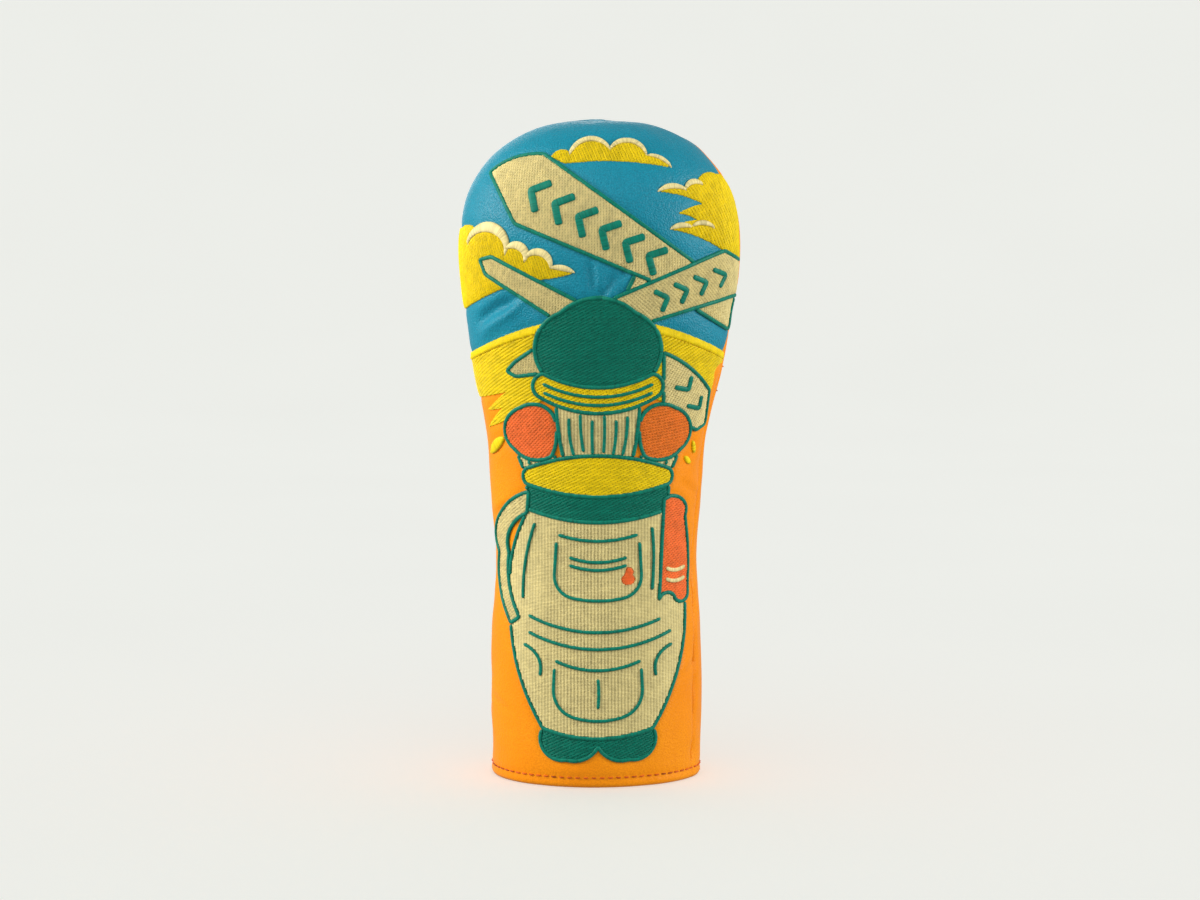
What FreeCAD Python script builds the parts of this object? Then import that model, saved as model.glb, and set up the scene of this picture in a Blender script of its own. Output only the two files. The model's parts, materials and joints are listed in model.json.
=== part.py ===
"""Driver head cover: a padded leather sock with an embroidered front, standing on its open hem.

Frame: millimetres, +Z up, origin on the floor under the middle of the hem, -Y towards the front.

Every layer follows one smooth body, a loft through ellipses that ends in a domed crown. A layer is the
space between two such lofts, one larger than the other by the layer's thickness. A tilted seam plane
parts front from back, and the embroidery is cut from thin layers that lie on the leather.
"""

import FreeCAD, Part
import math
import os

from FreeCAD import Placement, Rotation, Vector

OUT = "parts"

# Levels of the sleeve: height, half width, half depth, sideways shift, shift towards the back.
# The three below the floor only keep the loft straight where the hem is cut off level.
LEVELS = [
    (-75, 54.0, 39.5, -1.0, 0.0),
    (-50, 54.3, 39.6, -1.0, 0.0),
    (-25, 54.6, 39.8, -1.0, 0.0),
    (0, 54.9, 40.0, -1.0, 0.0),
    (25, 55.5, 40.5, -1.0, 0.0),
    (50, 55.5, 40.2, -1.0, 0.0),
    (75, 54.8, 39.5, -1.0, 0.0),
    (100, 53.0, 38.5, -1.0, 0.0),
    (125, 53.0, 38.0, -1.0, 0.0),
    (150, 55.2, 38.3, -1.0, -0.5),
    (175, 56.8, 38.4, -0.8, -1.5),
    (195, 60.5, 39.3, -0.4, -2.5),
    (215, 65.0, 41.5, 0.0, -2.5),
    (235, 68.2, 44.8, 0.3, -1.2),
    (255, 71.2, 47.4, 0.7, -0.4),
]
LEVEL_FACTS = ("height", "half_width", "half_depth", "shift_x", "shift_y")

# Angles, in degrees above the widest level, at which the crown has a section.
CROWN_ANGLES = (0, 15, 30, 45, 58, 68, 76, 82, 86.5)

DIMENSIONS = [
    ("crown_base", 275.0, "height of the widest level, where the crown starts"),
    ("crown_half_width", 72.4, "half the width there"),
    ("crown_half_depth", 48.5, "half the depth there"),
    ("crown_rise", 65.2, "height of the crown above that level"),
    ("crown_power", 2.3, "2 is an ellipse, more is squarer"),
    ("crown_lean", 1.0, "sideways shift of the crown"),
    ("leather", 1.2, "thickness of the leather panels"),
    ("backing", 0.4, "thickness of the embroidery backing"),
    ("padding", 2.4, "thickness of the foam"),
    ("lining", 2.5, "thickness of the fleece"),
    ("facing", 1.0, "thickness of the facing inside the hem"),
    ("fill_thread", 0.9, "height of filled embroidery above the leather"),
    ("satin_thread", 1.4, "height of satin lines above the leather"),
    ("elastic", 1.2, "thickness of the neck elastic"),
    ("elastic_low", 198.0, "lower edge of the elastic"),
    ("elastic_width", 18.0, "width of the elastic"),
    ("hem_fold", 1.2, "thickness of leather folded under at the hem"),
    ("facing_height", 18.0, "height of the facing inside the mouth"),
    ("backing_margin", 9.0, "backing stops this far above the hem"),
    ("seam_shift", -10.0, "seam plane's distance behind the axis at the floor"),
    ("seam_turn", -7.5, "seam plane's turn about the axis, degrees"),
    ("seam_tilt", -2.9, "seam plane's lean towards the back, degrees"),
    ("seam_flange", 2.4, "both seam allowances together"),
    ("seam_room", 4.4, "width kept clear of foam at the side seams"),
    ("space_size", 500.0, "size of the boxes that divide front from back"),
    ("art_front", 90.0, "how far the artwork is swept to the front"),
    ("art_back", 20.0, "how far it is swept to the back"),
    ("edge_width", 1.7, "width of the satin outlines"),
    ("line_width", 1.35, "width of the satin detail lines"),
    ("horizon_edge_width", 4.6, "width of the raised edge over the crown seam"),
    ("seam_drop", 2.3, "crown seam lies this far under the top of the horizon"),
    ("stitch_radius", 0.35, "radius of the sewing thread"),
    ("hem_stitch_height", 5.2, "height of the hem stitching"),
    ("hem_stitch_pitch", 4.2, "from one hem stitch to the next"),
    ("hem_stitch_length", 3.0, "length of one hem stitch"),
    ("seam_stitch_pitch", 5.0, "from one side seam stitch to the next"),
    ("seam_stitch_length", 3.6, "length of one side seam stitch"),
]


# ---------------------------------------------------------------- document and sheet

doc = FreeCAD.newDocument("head_cover")
sheet = doc.addObject("Spreadsheet::Sheet", "Sheet")
nodes = {}


def fill_sheet():
    """Writes every driving dimension into the sheet, one aliased cell each."""
    row = 1
    cells = [(name, value, note) for name, value, note in DIMENSIONS]
    for i, level in enumerate(LEVELS):
        for fact, value in zip(LEVEL_FACTS, level):
            cells.append((f"level_{i:02d}_{fact}", value, ""))
    for i, angle in enumerate(CROWN_ANGLES):
        cells.append((f"crown_angle_{i:02d}", angle, ""))
    for name, value, note in cells:
        sheet.set(f"A{row}", str(value))
        sheet.setAlias(f"A{row}", name)
        sheet.set(f"B{row}", note)
        row += 1
    doc.recompute()


def size(name):
    """A driving dimension's number."""
    return float(sheet.get(name))


def cell(name):
    """A driving dimension's name in an expression."""
    return f"Sheet.{name}"


def add(kind, name, **bound):
    """A document object, with the properties in bound tied to the sheet by expressions."""
    made = doc.addObject(kind, name)
    for prop, expression in bound.items():
        made.setExpression(prop.replace("__", "."), str(expression))
    return made


def node(name, made):
    """Marks an object as a sub-part: its label names its file."""
    made.Label = name
    nodes[name] = made
    return made


# ---------------------------------------------------------------- the body and its layers


def body_loft(name, grown):
    """The whole body as a solid, larger than the leather's outer face by the expression grown."""
    sections = []
    for i in range(len(LEVELS)):
        c = f"Sheet.level_{i:02d}_"
        sections.append(
            add(
                "Part::Ellipse",
                f"{name}_level_{i:02d}",
                MajorRadius=f"{c}half_width + {grown}",
                MinorRadius=f"{c}half_depth + {grown}",
                Placement__Base__x=f"{c}shift_x",
                Placement__Base__y=f"{c}shift_y",
                Placement__Base__z=f"{c}height",
            )
        )
    power = cell("crown_power")
    for i in range(len(CROWN_ANGLES)):
        climb = f"(sin({cell(f'crown_angle_{i:02d}')}) ^ (2 / {power}))"
        shrink = f"((1 - {climb} ^ {power}) ^ (1 / {power}))"
        sections.append(
            add(
                "Part::Ellipse",
                f"{name}_crown_{i:02d}",
                MajorRadius=f"({cell('crown_half_width')} + {grown}) * {shrink}",
                MinorRadius=f"({cell('crown_half_depth')} + {grown}) * {shrink}",
                Placement__Base__x=cell("crown_lean"),
                Placement__Base__z=f"{cell('crown_base')} + ({cell('crown_rise')} + {grown}) * {climb}",
            )
        )
    made = doc.addObject("Part::Loft", name)
    made.Sections = sections
    made.Solid = True
    made.Ruled = False
    made.MaxDegree = 5
    return made


def cut(name, base, tool):
    made = doc.addObject("Part::Cut", name)
    made.Base = base
    made.Tool = tool
    return made


def common(name, *shapes):
    made = doc.addObject("Part::MultiCommon", name)
    made.Shapes = list(shapes)
    return made


def fuse(name, *shapes):
    made = doc.addObject("Part::MultiFuse", name)
    made.Shapes = list(shapes)
    return made


def zone(name, low, high):
    """A wide box between two heights."""
    made = add(
        "Part::Box",
        name,
        Length=cell("space_size"),
        Width=cell("space_size"),
        Height=f"({high}) - ({low})",
        Placement__Base__x=f"-{cell('space_size')} / 2",
        Placement__Base__y=f"-{cell('space_size')} / 2",
        Placement__Base__z=str(low),
    )
    return made


def seam_frame():
    """Placement of the seam plane: local XZ is the plane, local -Y points to the front."""
    turn = Rotation(Vector(0, 0, 1), size("seam_turn"))
    tilt = Rotation(Vector(1, 0, 0), size("seam_tilt"))
    return Placement(Vector(0, size("seam_shift"), 0), turn * tilt)


def seam_box(name, thickness, start):
    """A box along the seam plane, thickness deep in local Y, starting at local Y start."""
    made = add(
        "Part::Box", name, Length=cell("space_size"), Width=thickness, Height=f"2 * {cell('space_size')}"
    )
    half = size("space_size") / 2
    made.Placement = seam_frame() * Placement(Vector(-half, start, -half), Rotation())
    return made


def shell(name, body, outer, inner, space):
    """What lies between two bodies within a space."""
    return cut(name, common(f"{name}_block", body[outer], space), inner)


def leather_panel(name, label, body, space, room):
    """A panel of leather within a space, hollowed so that its seam allowance stays, turned inwards."""
    opened = shell(f"{name}_opened", body, "outer_face", room, space)
    node(label, cut(name, opened, body["padding_back"]))


def leather_parts(body, spaces):
    """The three leather panels."""
    rooms = {
        side: common(f"{side}_room", body["leather_back"], spaces[f"{side}_room"])
        for side in ("front", "back")
    }
    leather_panel("front_crown", "front_crown_panel", body, spaces["crown"], rooms["front"])
    leather_panel("front_sleeve", "front_sleeve_panel", body, spaces["sleeve"], rooms["front"])
    leather_panel("back_leather", "back_panel", body, spaces["back"], rooms["back"])


def inner_parts(body, spaces):
    """Backing, foam, fleece, elastic and the facing in the mouth."""
    node("embroidery_backing", shell(
        "backing_sheet", body, "leather_back", body["backing_back"], spaces["front_backing"]))
    node("neck_elastic", shell("elastic_band", body, "elastic_face", body["padding_back"], spaces["elastic"]))
    node("front_padding", shell(
        "front_foam", body, "backing_back", body["padding_back"], spaces["front_clear"]))
    groove = common("elastic_groove", body["elastic_face"], spaces["elastic_band"])
    hollow = fuse("foam_hollow", groove, body["padding_back"])
    node("back_padding", shell("back_foam", body, "leather_back", hollow, spaces["back_clear"]))
    for side in ("front", "back"):
        above_fold = spaces[f"{side}_above_fold"]
        fleece = shell(f"{side}_fleece", body, "padding_back", body["lining_back"], above_fold)
        node(f"{side}_lining", fleece)
    fold = common("facing_fold", body["leather_back"], spaces["fold"])
    strip = common("facing_strip", body["lining_back"], spaces["facing_strip"])
    node("hem_facing", cut("facing_ring", fuse("facing_block", fold, strip), body["facing_back"]))


# ---------------------------------------------------------------- stitches


def ring_points(solid, height, pitch):
    """Points a pitch apart round a solid's outside at one height, with the way along and out."""
    wire = max(solid.slice(Vector(0, 0, 1), height), key=lambda w: w.Length)
    count = int(round(wire.Length / pitch))
    points = wire.discretize(Number=count + 1)[:-1]
    found = []
    for i, p in enumerate(points):
        along = (points[(i + 1) % count] - points[i - 1]).normalize()
        out = Vector(along.y, -along.x, 0)
        if out.dot(Vector(p.x, p.y, 0)) < 0:
            out = out * -1
        found.append((p, along, out))
    return found


def stitch(middle, along, length, radius):
    """One straight stitch: a short round thread."""
    return Part.makeCylinder(radius, length, middle - along * (length / 2), along)


def hem_stitches(outer, inner):
    """Stitches round the mouth, outside on the leather and inside on the facing."""
    radius, length = size("stitch_radius"), size("hem_stitch_length")
    height, pitch = size("hem_stitch_height"), size("hem_stitch_pitch")
    made = []
    for solid, side in ((outer, 1), (inner, -1)):
        for p, along, out in ring_points(solid, height, pitch):
            made.append(stitch(p + out * (side * radius), along, length, radius))
    return Part.makeCompound(made)


def gather_stitches(outer):
    """Two rows across the back, which hold the elastic."""
    radius, length = size("stitch_radius"), size("hem_stitch_length")
    to_seam = seam_frame().inverse()
    made = []
    for share in (0.15, 0.85):
        height = size("elastic_low") + share * size("elastic_width")
        for p, along, out in ring_points(outer, height, size("hem_stitch_pitch")):
            if to_seam.multVec(p).y > size("seam_room"):
                made.append(stitch(p + out * radius, along, length, radius))
    return Part.makeCompound(made)


def side_seam_stitches(under_leather):
    """Running stitches on both faces of the side seam allowances, inside the cover."""
    radius, length = size("stitch_radius"), size("seam_stitch_length")
    frame = seam_frame()
    normal = frame.Rotation.multVec(Vector(0, 1, 0))
    wire = max(under_leather.slice(normal, frame.Base.dot(normal)), key=lambda w: w.Length)
    count = int(wire.Length / size("seam_stitch_pitch"))
    points = wire.discretize(Number=count)
    made = []
    lift = size("seam_flange") / 2 + radius
    for before, p, after in zip(points, points[1:], points[2:]):
        along = (after - before).normalize()
        if p.z < 2 * length or abs(along.z) < 0.05 and p.z < size("crown_base"):
            continue
        for side in (-1, 1):
            made.append(stitch(p + normal * (side * lift), along, length, radius))
    return Part.makeCompound(made)


def shape_node(name, shape):
    """A sub-part whose shape is worked out above."""
    made = doc.addObject("Part::Feature", name)
    made.Shape = shape
    made.Placement = Placement()
    return node(name, made)


# ---------------------------------------------------------------- the artwork, drawn flat in XZ


def flat(x, z):
    return Vector(x, size("art_back"), z)


def drawn(points, closed=True):
    """A wire from points in order: (x, z) is reached by a straight line, (mx, mz, x, z) by an arc."""
    start = flat(*points[0])
    at = start
    edges = []
    for p in points[1:]:
        end = flat(*p[-2:])
        if len(p) == 2:
            edges.append(Part.LineSegment(at, end).toShape())
        else:
            edges.append(Part.Arc(at, flat(*p[:2]), end).toShape())
        at = end
    if closed and at.distanceToPoint(start) > 1e-6:
        edges.append(Part.LineSegment(at, start).toShape())
    return Part.Wire(edges)


def area(points):
    return Part.Face(drawn(points))


def line(points, width):
    """A satin line of one width with round ends."""
    return Part.Face(drawn(points, closed=False).makeOffset2D(width / 2, 0, True, False, False).Wires[0])


def crescent(start, outer, end, inner):
    """A sickle between two arcs that share both tips."""
    return area([start, outer + end, inner + start])


def mirrored(points):
    """The same outline on the other side of the middle."""
    return [tuple(-v if i % 2 == 0 else v for i, v in enumerate(p)) for p in points]


def chevron(x, z, angle, height, width, depth):
    """An arrow head with its tip towards angle."""
    corners = [
        (depth, 0),
        (-width / 2, height / 2),
        (-width / 2 - width, height / 2),
        (depth - width, 0),
        (-width / 2 - width, -height / 2),
        (-width / 2, -height / 2),
    ]
    c, s = math.cos(math.radians(angle)), math.sin(math.radians(angle))
    return area([(x + u * c - v * s, z + u * s + v * c) for u, v in corners])


def chevron_row(start, end, count, angle, height, width, depth):
    """Arrow heads in a row, shrinking a little towards the end."""
    made = []
    for i in range(count):
        share = i / (count - 1)
        x = start[0] + share * (end[0] - start[0])
        z = start[1] + share * (end[1] - start[1])
        made.append(chevron(x, z, angle, height * (1 - 0.12 * share), width, depth))
    return made


TOWEL = [
    (33.5, 147), (41.5, 147.5, 44.5, 138), (46.2, 118, 46.2, 97), (42.5, 93.5, 39, 96.5), (35, 99, 31, 95.5),
    (32.2, 120, 33.5, 147),
]
TOWEL_STRIPES = [[(34.3, 106), (39.5, 104.5, 44, 106)], [(34.5, 111.5), (39.5, 110, 44, 111.5)]]

STRAP = [
    (-35, 151), (-48.5, 141, -50.5, 118), (-50.2, 100, -44.5, 82.5), (-40, 86), (-45.3, 103, -45.3, 118),
    (-43.8, 133, -36, 140),
]

RIM = [(-36, 163), (0, 170, 36, 163), (37.8, 158.8, 36, 155), (0, 149, -36, 155), (-37.8, 158.8, -36, 163)]
COLLAR = [(-36, 155), (0, 149, 36, 155), (35.2, 142), (0, 136, -35.2, 142)]
BAG = [
    (-35.2, 142), (0, 136, 35.2, 142), (43, 121, 44.5, 95), (41.5, 62, 28, 30), (0, 25.5, -28, 30),
    (-41.5, 62, -44.5, 95), (-43, 121, -35.2, 142),
]
BASE = [
    (-28, 30), (0, 25.5, 28, 30), (26.5, 17.5, 16, 14.5), (6, 15.5, 0, 21.5), (-6, 15.5, -16, 14.5),
    (-26.5, 17.5, -28, 30),
]
BAG_LINES = [
    [(-35, 87.5), (-2, 80, 31.5, 86)],
    [(-35, 79), (0, 71.3, 37, 79.5)],
    [(-20, 129.5), (0, 126.5, 20, 129.5)],
    [
        (-21, 125.5), (-22, 108.3), (-19.5, 101.2, -13, 97.3), (0, 96, 13, 97.3), (19.5, 101.2, 22, 108.3),
        (21, 125.5),
    ],
    [(-14.5, 118), (0, 115.6, 14.5, 118)],
    [(-14.5, 114), (0, 111.6, 14.5, 114)],
    [(-21.5, 65), (0, 60.5, 21.5, 65)],
    [
        (-22, 61), (-22.5, 49.8), (-19.6, 41.2, -12, 36.2), (0, 34.6, 12, 36.2), (19.6, 41.2, 22.5, 49.8),
        (22, 61),
    ],
    [(0, 56), (0.4, 48.5, 0, 41)],
    [(-32, 135), (-36.5, 116, -38, 96)],
    [(27.3, 133), (28.1, 116, 27.3, 101)],
    [(-37.5, 72.5), (-30.5, 67, -29.5, 57)],
    [(37.5, 72.5), (30.5, 67, 29.5, 57)],
]
ZIP_PULL = [(14.5, 112.5), (17.3, 112.2, 17.6, 109), (17, 104.3, 15.5, 104.3), (13.4, 104.3, 13.4, 109)]

CUFF = [
    (-27.5, 211.5), (0, 204.5, 27.5, 211.5), (32.5, 207, 30, 200), (0, 191.5, -30, 200),
    (-32.5, 207, -27.5, 211.5),
]
CUFF_LINES = [[(-27.5, 206.3), (0, 199.8, 27.5, 206.3)], [(-27.3, 202), (0, 195.6, 27.3, 202)]]
DOME = [
    (-27.5, 211.5), (-31, 229, -19, 242), (0, 249.5, 19, 242), (31, 229, 27.5, 211.5),
    (0, 204.5, -27.5, 211.5),
]
SOCK = [(-21, 199), (-19.5, 180, -15, 160), (15, 160), (19.5, 180, 21, 199)]
SOCK_LINES = [
    [(-14.6, 189), (-14, 178, -11.6, 168.5)],
    [(-8.8, 191), (-8.4, 180, -7.2, 172)],
    [(-2.8, 188), (-2.9, 178, -2.5, 169.5)],
    [(3.2, 190.5), (3.3, 180, 2.8, 171.5)],
    [(9.2, 188), (8.8, 178, 7.4, 169.5)],
    [(14.8, 190), (14.2, 180, 12.2, 170)],
]
SIDE_COVER = [
    (-42, 172.5), (-47, 184, -39, 194), (-28, 195, -21, 186), (-21, 178, -23.5, 169.5),
    (-33, 167.5, -42, 172.5),
]
SIDE_SOCK = [(-41.5, 173.5), (-38.5, 165, -34.5, 157), (-20, 157), (-22, 170)]
SIDE_SOCK_LINES = [
    [(-35.5, 168.2), (-34.8, 166.2, -33.6, 164.5)],
    [(-30.3, 167.6), (-29.9, 166.2, -29, 165)],
]

RIGHT_BOARD = [(0, 246), (63.8, 273), (74.5, 267), (71.5, 251), (24, 237)]
LONG_BOARD = [(-54.5, 312.5), (-42, 319.3, -27, 321), (69.5, 252), (66, 233), (28, 257.5), (-41.5, 286.5)]
LEFT_BOARD = [(-59.6, 268.4), (-53.6, 270), (-2, 243.5), (-17, 236), (-56.8, 261.2)]
LOW_BOARD = [(33, 222), (47.5, 213, 56.5, 202), (55, 184.5), (50, 181.5), (33, 197)]
LOW_TIP = [(-45.8, 212.4), (-41.9, 217), (-25, 229), (-25, 212), (-41.3, 209.8)]
POST = [(20, 264), (26, 261), (19, 245), (12.5, 249)]

TOP_CLOUD = [
    (-23.5, 319.5), (-18.3, 323.4, -13, 321.5), (-4, 330, 6, 323), (17, 329, 24, 320.5),
    (31.5, 319.8, 37, 314.5),
    (9, 317.6, -17, 316.4),
]
TOP_CLOUD_CRESTS = [
    ((-14.5, 320), (-4.3, 330.2), (6.3, 322.6), (-4.2, 327.2)),
    ((5.6, 322.8), (16.6, 329.2), (24.4, 319.8), (16, 326.4)),
    ((24.2, 320.6), (31.5, 320.2), (37, 314.5), (31, 318.3)),
]
RIGHT_CLOUD = [
    (90, 312.5), (60, 312), (52.5, 311.3, 50.3, 307), (47.3, 308.4, 44.3, 304), (37, 306, 29.8, 302.3),
    (40, 301, 53, 296.5), (46, 294.6, 39.8, 291.2), (45, 290.6, 49.5, 288.4), (42.5, 287, 36, 283.5),
    (50, 280, 64, 272.5), (77, 264), (90, 258),
]
RIGHT_CLOUD_CRESTS = [
    ((29.8, 302.3), (37.3, 306.4), (44.6, 303), (37.6, 304)),
    ((44, 303.4), (47.6, 308.8), (53, 305.6), (48, 306.4)),
    ((36, 283.5), (41.8, 286.8), (47.2, 284.6), (42, 284.6)),
    ((46.8, 284.8), (52.2, 288), (58.8, 283.8), (52.4, 286)),
]
LEFT_CLOUD = [
    (-90, 286), (-70, 284.5), (-66, 286.3, -62, 283), (-54, 287, -46, 275.5), (-41, 277.2, -37, 268.5),
    (-29.5, 273.6, -23.8, 264.8), (-17.3, 265.2, -11.5, 262), (-21, 259.5, -30, 258.3),
    (-50, 253, -68, 243.5),
    (-90, 236),
]
LEFT_CLOUD_CRESTS = [
    ((-66, 275.5), (-54, 287.2), (-46.8, 270.5), (-54.2, 282.2)),
    ((-46, 273.6), (-40.6, 277.4), (-37, 267.2), (-41, 273.9)),
    ((-36.8, 268.3), (-29.7, 273.9), (-23.8, 263.6), (-30, 270.7)),
    ((-24.2, 264.4), (-17.5, 265.6), (-11.5, 262), (-18, 263.2)),
]
FLECKS = [
    ((-54.5, 169), (-53.2, 176), (-47.5, 178), (-50.5, 171.5)),
    ((44.2, 168.6), (46.4, 167.6), (47.6, 164), (45.4, 165.2)),
    ((48.6, 176.5), (50.2, 173), (49.4, 169), (48.3, 172.5)),
]
HORIZON_TOP = [(-80, 210.6), (-0.5, 239.6, 80, 210.6)]
HORIZON = HORIZON_TOP + [
    (80, 217), (62.5, 214.8), (60, 212, 59.4, 208), (58.2, 203, 56, 196), (50, 190), (45, 184, 39, 188),
    (34, 196, 26, 199), (-26, 199), (-40, 190.5, -55.5, 183), (-52.3, 188.8, -48, 193.5),
    (-52, 192.3, -56, 192),
    (-51.7, 197, -46.5, 201.5), (-54, 199.6, -62, 197.5), (-80, 194),
]


def below(points, drop):
    """The same open outline, lowered."""
    return [tuple(v - drop if i % 2 else v for i, v in enumerate(p)) for p in points]


def reversed_path(points):
    """An open path drawn the other way round."""
    ends = [p[-2:] for p in points]
    back = [ends[-1]]
    for i in range(len(points) - 1, 0, -1):
        middle = points[i][:-2]
        back.append(middle + ends[i - 1])
    return back


def horizon_edge():
    """The raised strip along the top of the horizon."""
    low = reversed_path(below(HORIZON_TOP, size("horizon_edge_width")))
    return area(HORIZON_TOP + low)


def crown_face():
    """Everything above the crown seam, drawn flat."""
    reach = size("space_size") / 2
    left, middle_x, middle_z, right = HORIZON_TOP[0], *HORIZON_TOP[1][:2], HORIZON_TOP[1][2:]
    drop = size("seam_drop")
    seam = [(left[0], left[1] - drop), (middle_x, middle_z - drop, right[0], right[1] - drop)]
    sky = [(reach, right[1] - drop), (reach, 2 * reach), (-reach, 2 * reach), (-reach, left[1] - drop)]
    return area(seam + sky)


class Artwork:
    """Regions of thread, added from the top of the pile down, each cut back by those already added."""

    def __init__(self):
        self.above = []
        self.faces = {}

    def visible(self, face):
        """What is left of a face once everything above it is taken away."""
        for other in self.above:
            if face.BoundBox.intersect(other.BoundBox):
                face = face.cut(other)
        return face

    def keep(self, name, height, face):
        """Stores a face's pieces under a node name, leaving out slivers too small to sew."""
        smallest = 0.6
        pieces = [f for f in self.visible(face).Faces if f.Area > smallest]
        self.faces.setdefault(name, (height, []))[1].extend(pieces)

    def region(self, fill, points, edge=None, details=(), crests=None):
        """One filled outline with its satin edge, its detail lines and its crests."""
        face = area(points)
        half = size("edge_width") / 2
        outer = face.makeOffset2D(half) if edge else face
        inner = face.makeOffset2D(-half) if edge else face
        for name, shapes in details:
            for shape in shapes:
                self.keep(name, "detail", shape)
        if crests:
            name, shapes = crests
            for shape in shapes:
                self.keep(name, "satin", shape)
                self.above.append(shape)
        if edge:
            self.keep(edge, "satin", outer.cut(inner))
        self.keep(fill, "fill", inner)
        self.above.append(outer)

    def lines(self, paths, width_name="line_width"):
        return [line(p, size(width_name)) for p in paths]


def draw_bag(art):
    """A golf bag with its towel and strap."""
    stripes = art.lines(TOWEL_STRIPES, "edge_width")
    art.region("towel_fill", TOWEL, "bag_outline", [("towel_stripes", stripes)])
    art.region("strap_fill", STRAP, "bag_outline")
    art.region("bag_rim_fill", RIM, "bag_outline")
    art.region("bag_collar_fill", COLLAR, "bag_outline")
    art.region("bag_body_fill", BAG, "bag_outline", [
        ("zip_pull", [area(ZIP_PULL)]),
        ("bag_detail_lines", art.lines(BAG_LINES)),
    ])
    art.region("bag_base_fill", BASE, "bag_outline")


def draw_club_covers(art):
    """Three knitted covers that stand in the bag."""
    art.region("centre_cuff_fill", CUFF, "club_cover_outline", [("club_cover_ribs", art.lines(CUFF_LINES))])
    art.region("centre_dome_fill", DOME, "club_cover_outline")
    art.region("centre_sock_fill", SOCK, "club_cover_outline", [("club_cover_ribs", art.lines(SOCK_LINES))])
    for name, turned in (("left", list), ("right", mirrored)):
        art.region(f"{name}_cover_fill", turned(SIDE_COVER), "club_cover_outline")
        ribs = art.lines([turned(p) for p in SIDE_SOCK_LINES])
        art.region("side_sock_fill", turned(SIDE_SOCK), "club_cover_outline", [("club_cover_ribs", ribs)])


def draw_boards(art):
    """Blank direction boards with arrow heads in place of words."""
    art.region("right_board_fill", RIGHT_BOARD, "board_outline", [
        ("board_arrows", chevron_row((33, 249), (62.5, 260.3), 4, 21, 11, 3.4, 3.6)),
    ])
    art.region("long_board_fill", LONG_BOARD, "board_outline", [
        ("board_arrows", chevron_row((-31, 301.5), (27, 269.5), 6, 151, 16.5, 4.8, 4.6)),
    ])
    art.region("left_board_fill", LEFT_BOARD, "board_outline")
    art.region("low_board_fill", LOW_BOARD, "board_outline", [
        ("board_arrows", chevron_row((44.5, 204.5), (50.3, 194.5), 2, -57, 10, 3.2, 3.4)),
    ])
    art.region("low_board_fill", LOW_TIP, "board_outline")
    art.region("post_fill", POST, "board_outline")


def draw_sky(art):
    """Clouds with pale crests, flecks of light, and the bright horizon."""
    for name, outline, crests in (
        ("top_cloud_fill", TOP_CLOUD, TOP_CLOUD_CRESTS),
        ("right_cloud_fill", RIGHT_CLOUD, RIGHT_CLOUD_CRESTS),
        ("left_cloud_fill", LEFT_CLOUD, LEFT_CLOUD_CRESTS),
    ):
        art.region(name, outline, crests=("cloud_crests", [crescent(*c) for c in crests]))
    for fleck in FLECKS:
        face = crescent(*fleck)
        art.keep("light_flecks", "satin", face)
    edge = horizon_edge()
    art.keep("horizon_edge", "satin", edge)
    art.above.append(edge)
    art.region("horizon_fill", HORIZON)


def sewn(name, face, layer):
    """Sweeps a flat face through the cover and keeps what lies in its layer of thread."""
    outline = doc.addObject("Part::Feature", f"{name}_outline")
    outline.Shape = face
    swept = add("Part::Extrusion", f"{name}_sweep", LengthFwd=f"{cell('art_front')} + {cell('art_back')}")
    swept.Base = outline
    swept.Dir = Vector(0, -1, 0)
    swept.Solid = True
    return common(f"{name}_thread", layer, swept)


def sew(art, thread_layers):
    """Every patch of thread, gathered into its sub-part."""
    for name, (height, faces) in art.faces.items():
        patches = [sewn(f"{name}_{i:02d}", face, thread_layers[height]) for i, face in enumerate(faces)]
        gathered = doc.addObject("Part::Compound", f"{name}_patches")
        gathered.Links = patches
        node(name, gathered)


# ---------------------------------------------------------------- build, check, write


def divide_space(crown_space):
    """The blocks that divide front from back and one height from another."""
    far = cell("space_size")
    fold = cell("hem_fold")
    elastic_top = f"{cell('elastic_low')} + {cell('elastic_width')}"
    reach, allowance, room = size("space_size"), size("seam_flange"), size("seam_room")
    above_floor = zone("above_floor", "0", far)
    above_fold = zone("above_fold", fold, far)
    above_margin = zone("above_backing_margin", cell("backing_margin"), far)
    band = zone("elastic_zone", cell("elastic_low"), elastic_top)
    front = seam_box("front_space", far, -reach)
    back = seam_box("back_space", far, 0)
    front_clear = seam_box("front_clear_space", far, -reach - room / 2)
    back_clear = seam_box("back_clear_space", far, room / 2)
    front_room = seam_box("front_room_above_fold", far, -reach - allowance / 2)
    back_room = seam_box("back_room_above_fold", far, allowance / 2)
    below_fold = zone("below_fold", f"-{far}", fold)
    front_half = common("front_above_floor", front, above_floor)
    return {
        "crown": common("crown_front", front_half, crown_space),
        "sleeve": cut("sleeve_front", front_half, crown_space),
        "front_room": fuse("front_room_space", front_room, below_fold),
        "back_room": fuse("back_room_space", back_room, below_fold),
        "front": front_half,
        "back": common("back_above_floor", back, above_floor),
        "front_above_fold": common("front_above_fold", front, above_fold),
        "back_above_fold": common("back_above_fold", back, above_fold),
        "front_clear": common("front_clear", front_clear, above_fold),
        "back_clear": common("back_clear", back_clear, above_fold),
        "front_backing": common("front_backing", front_clear, above_margin),
        "elastic": common("elastic_space", back_clear, band),
        "elastic_band": band,
        "fold": zone("fold_zone", "0", fold),
        "facing_strip": zone("facing_zone", fold, cell("facing_height")),
    }


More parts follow.
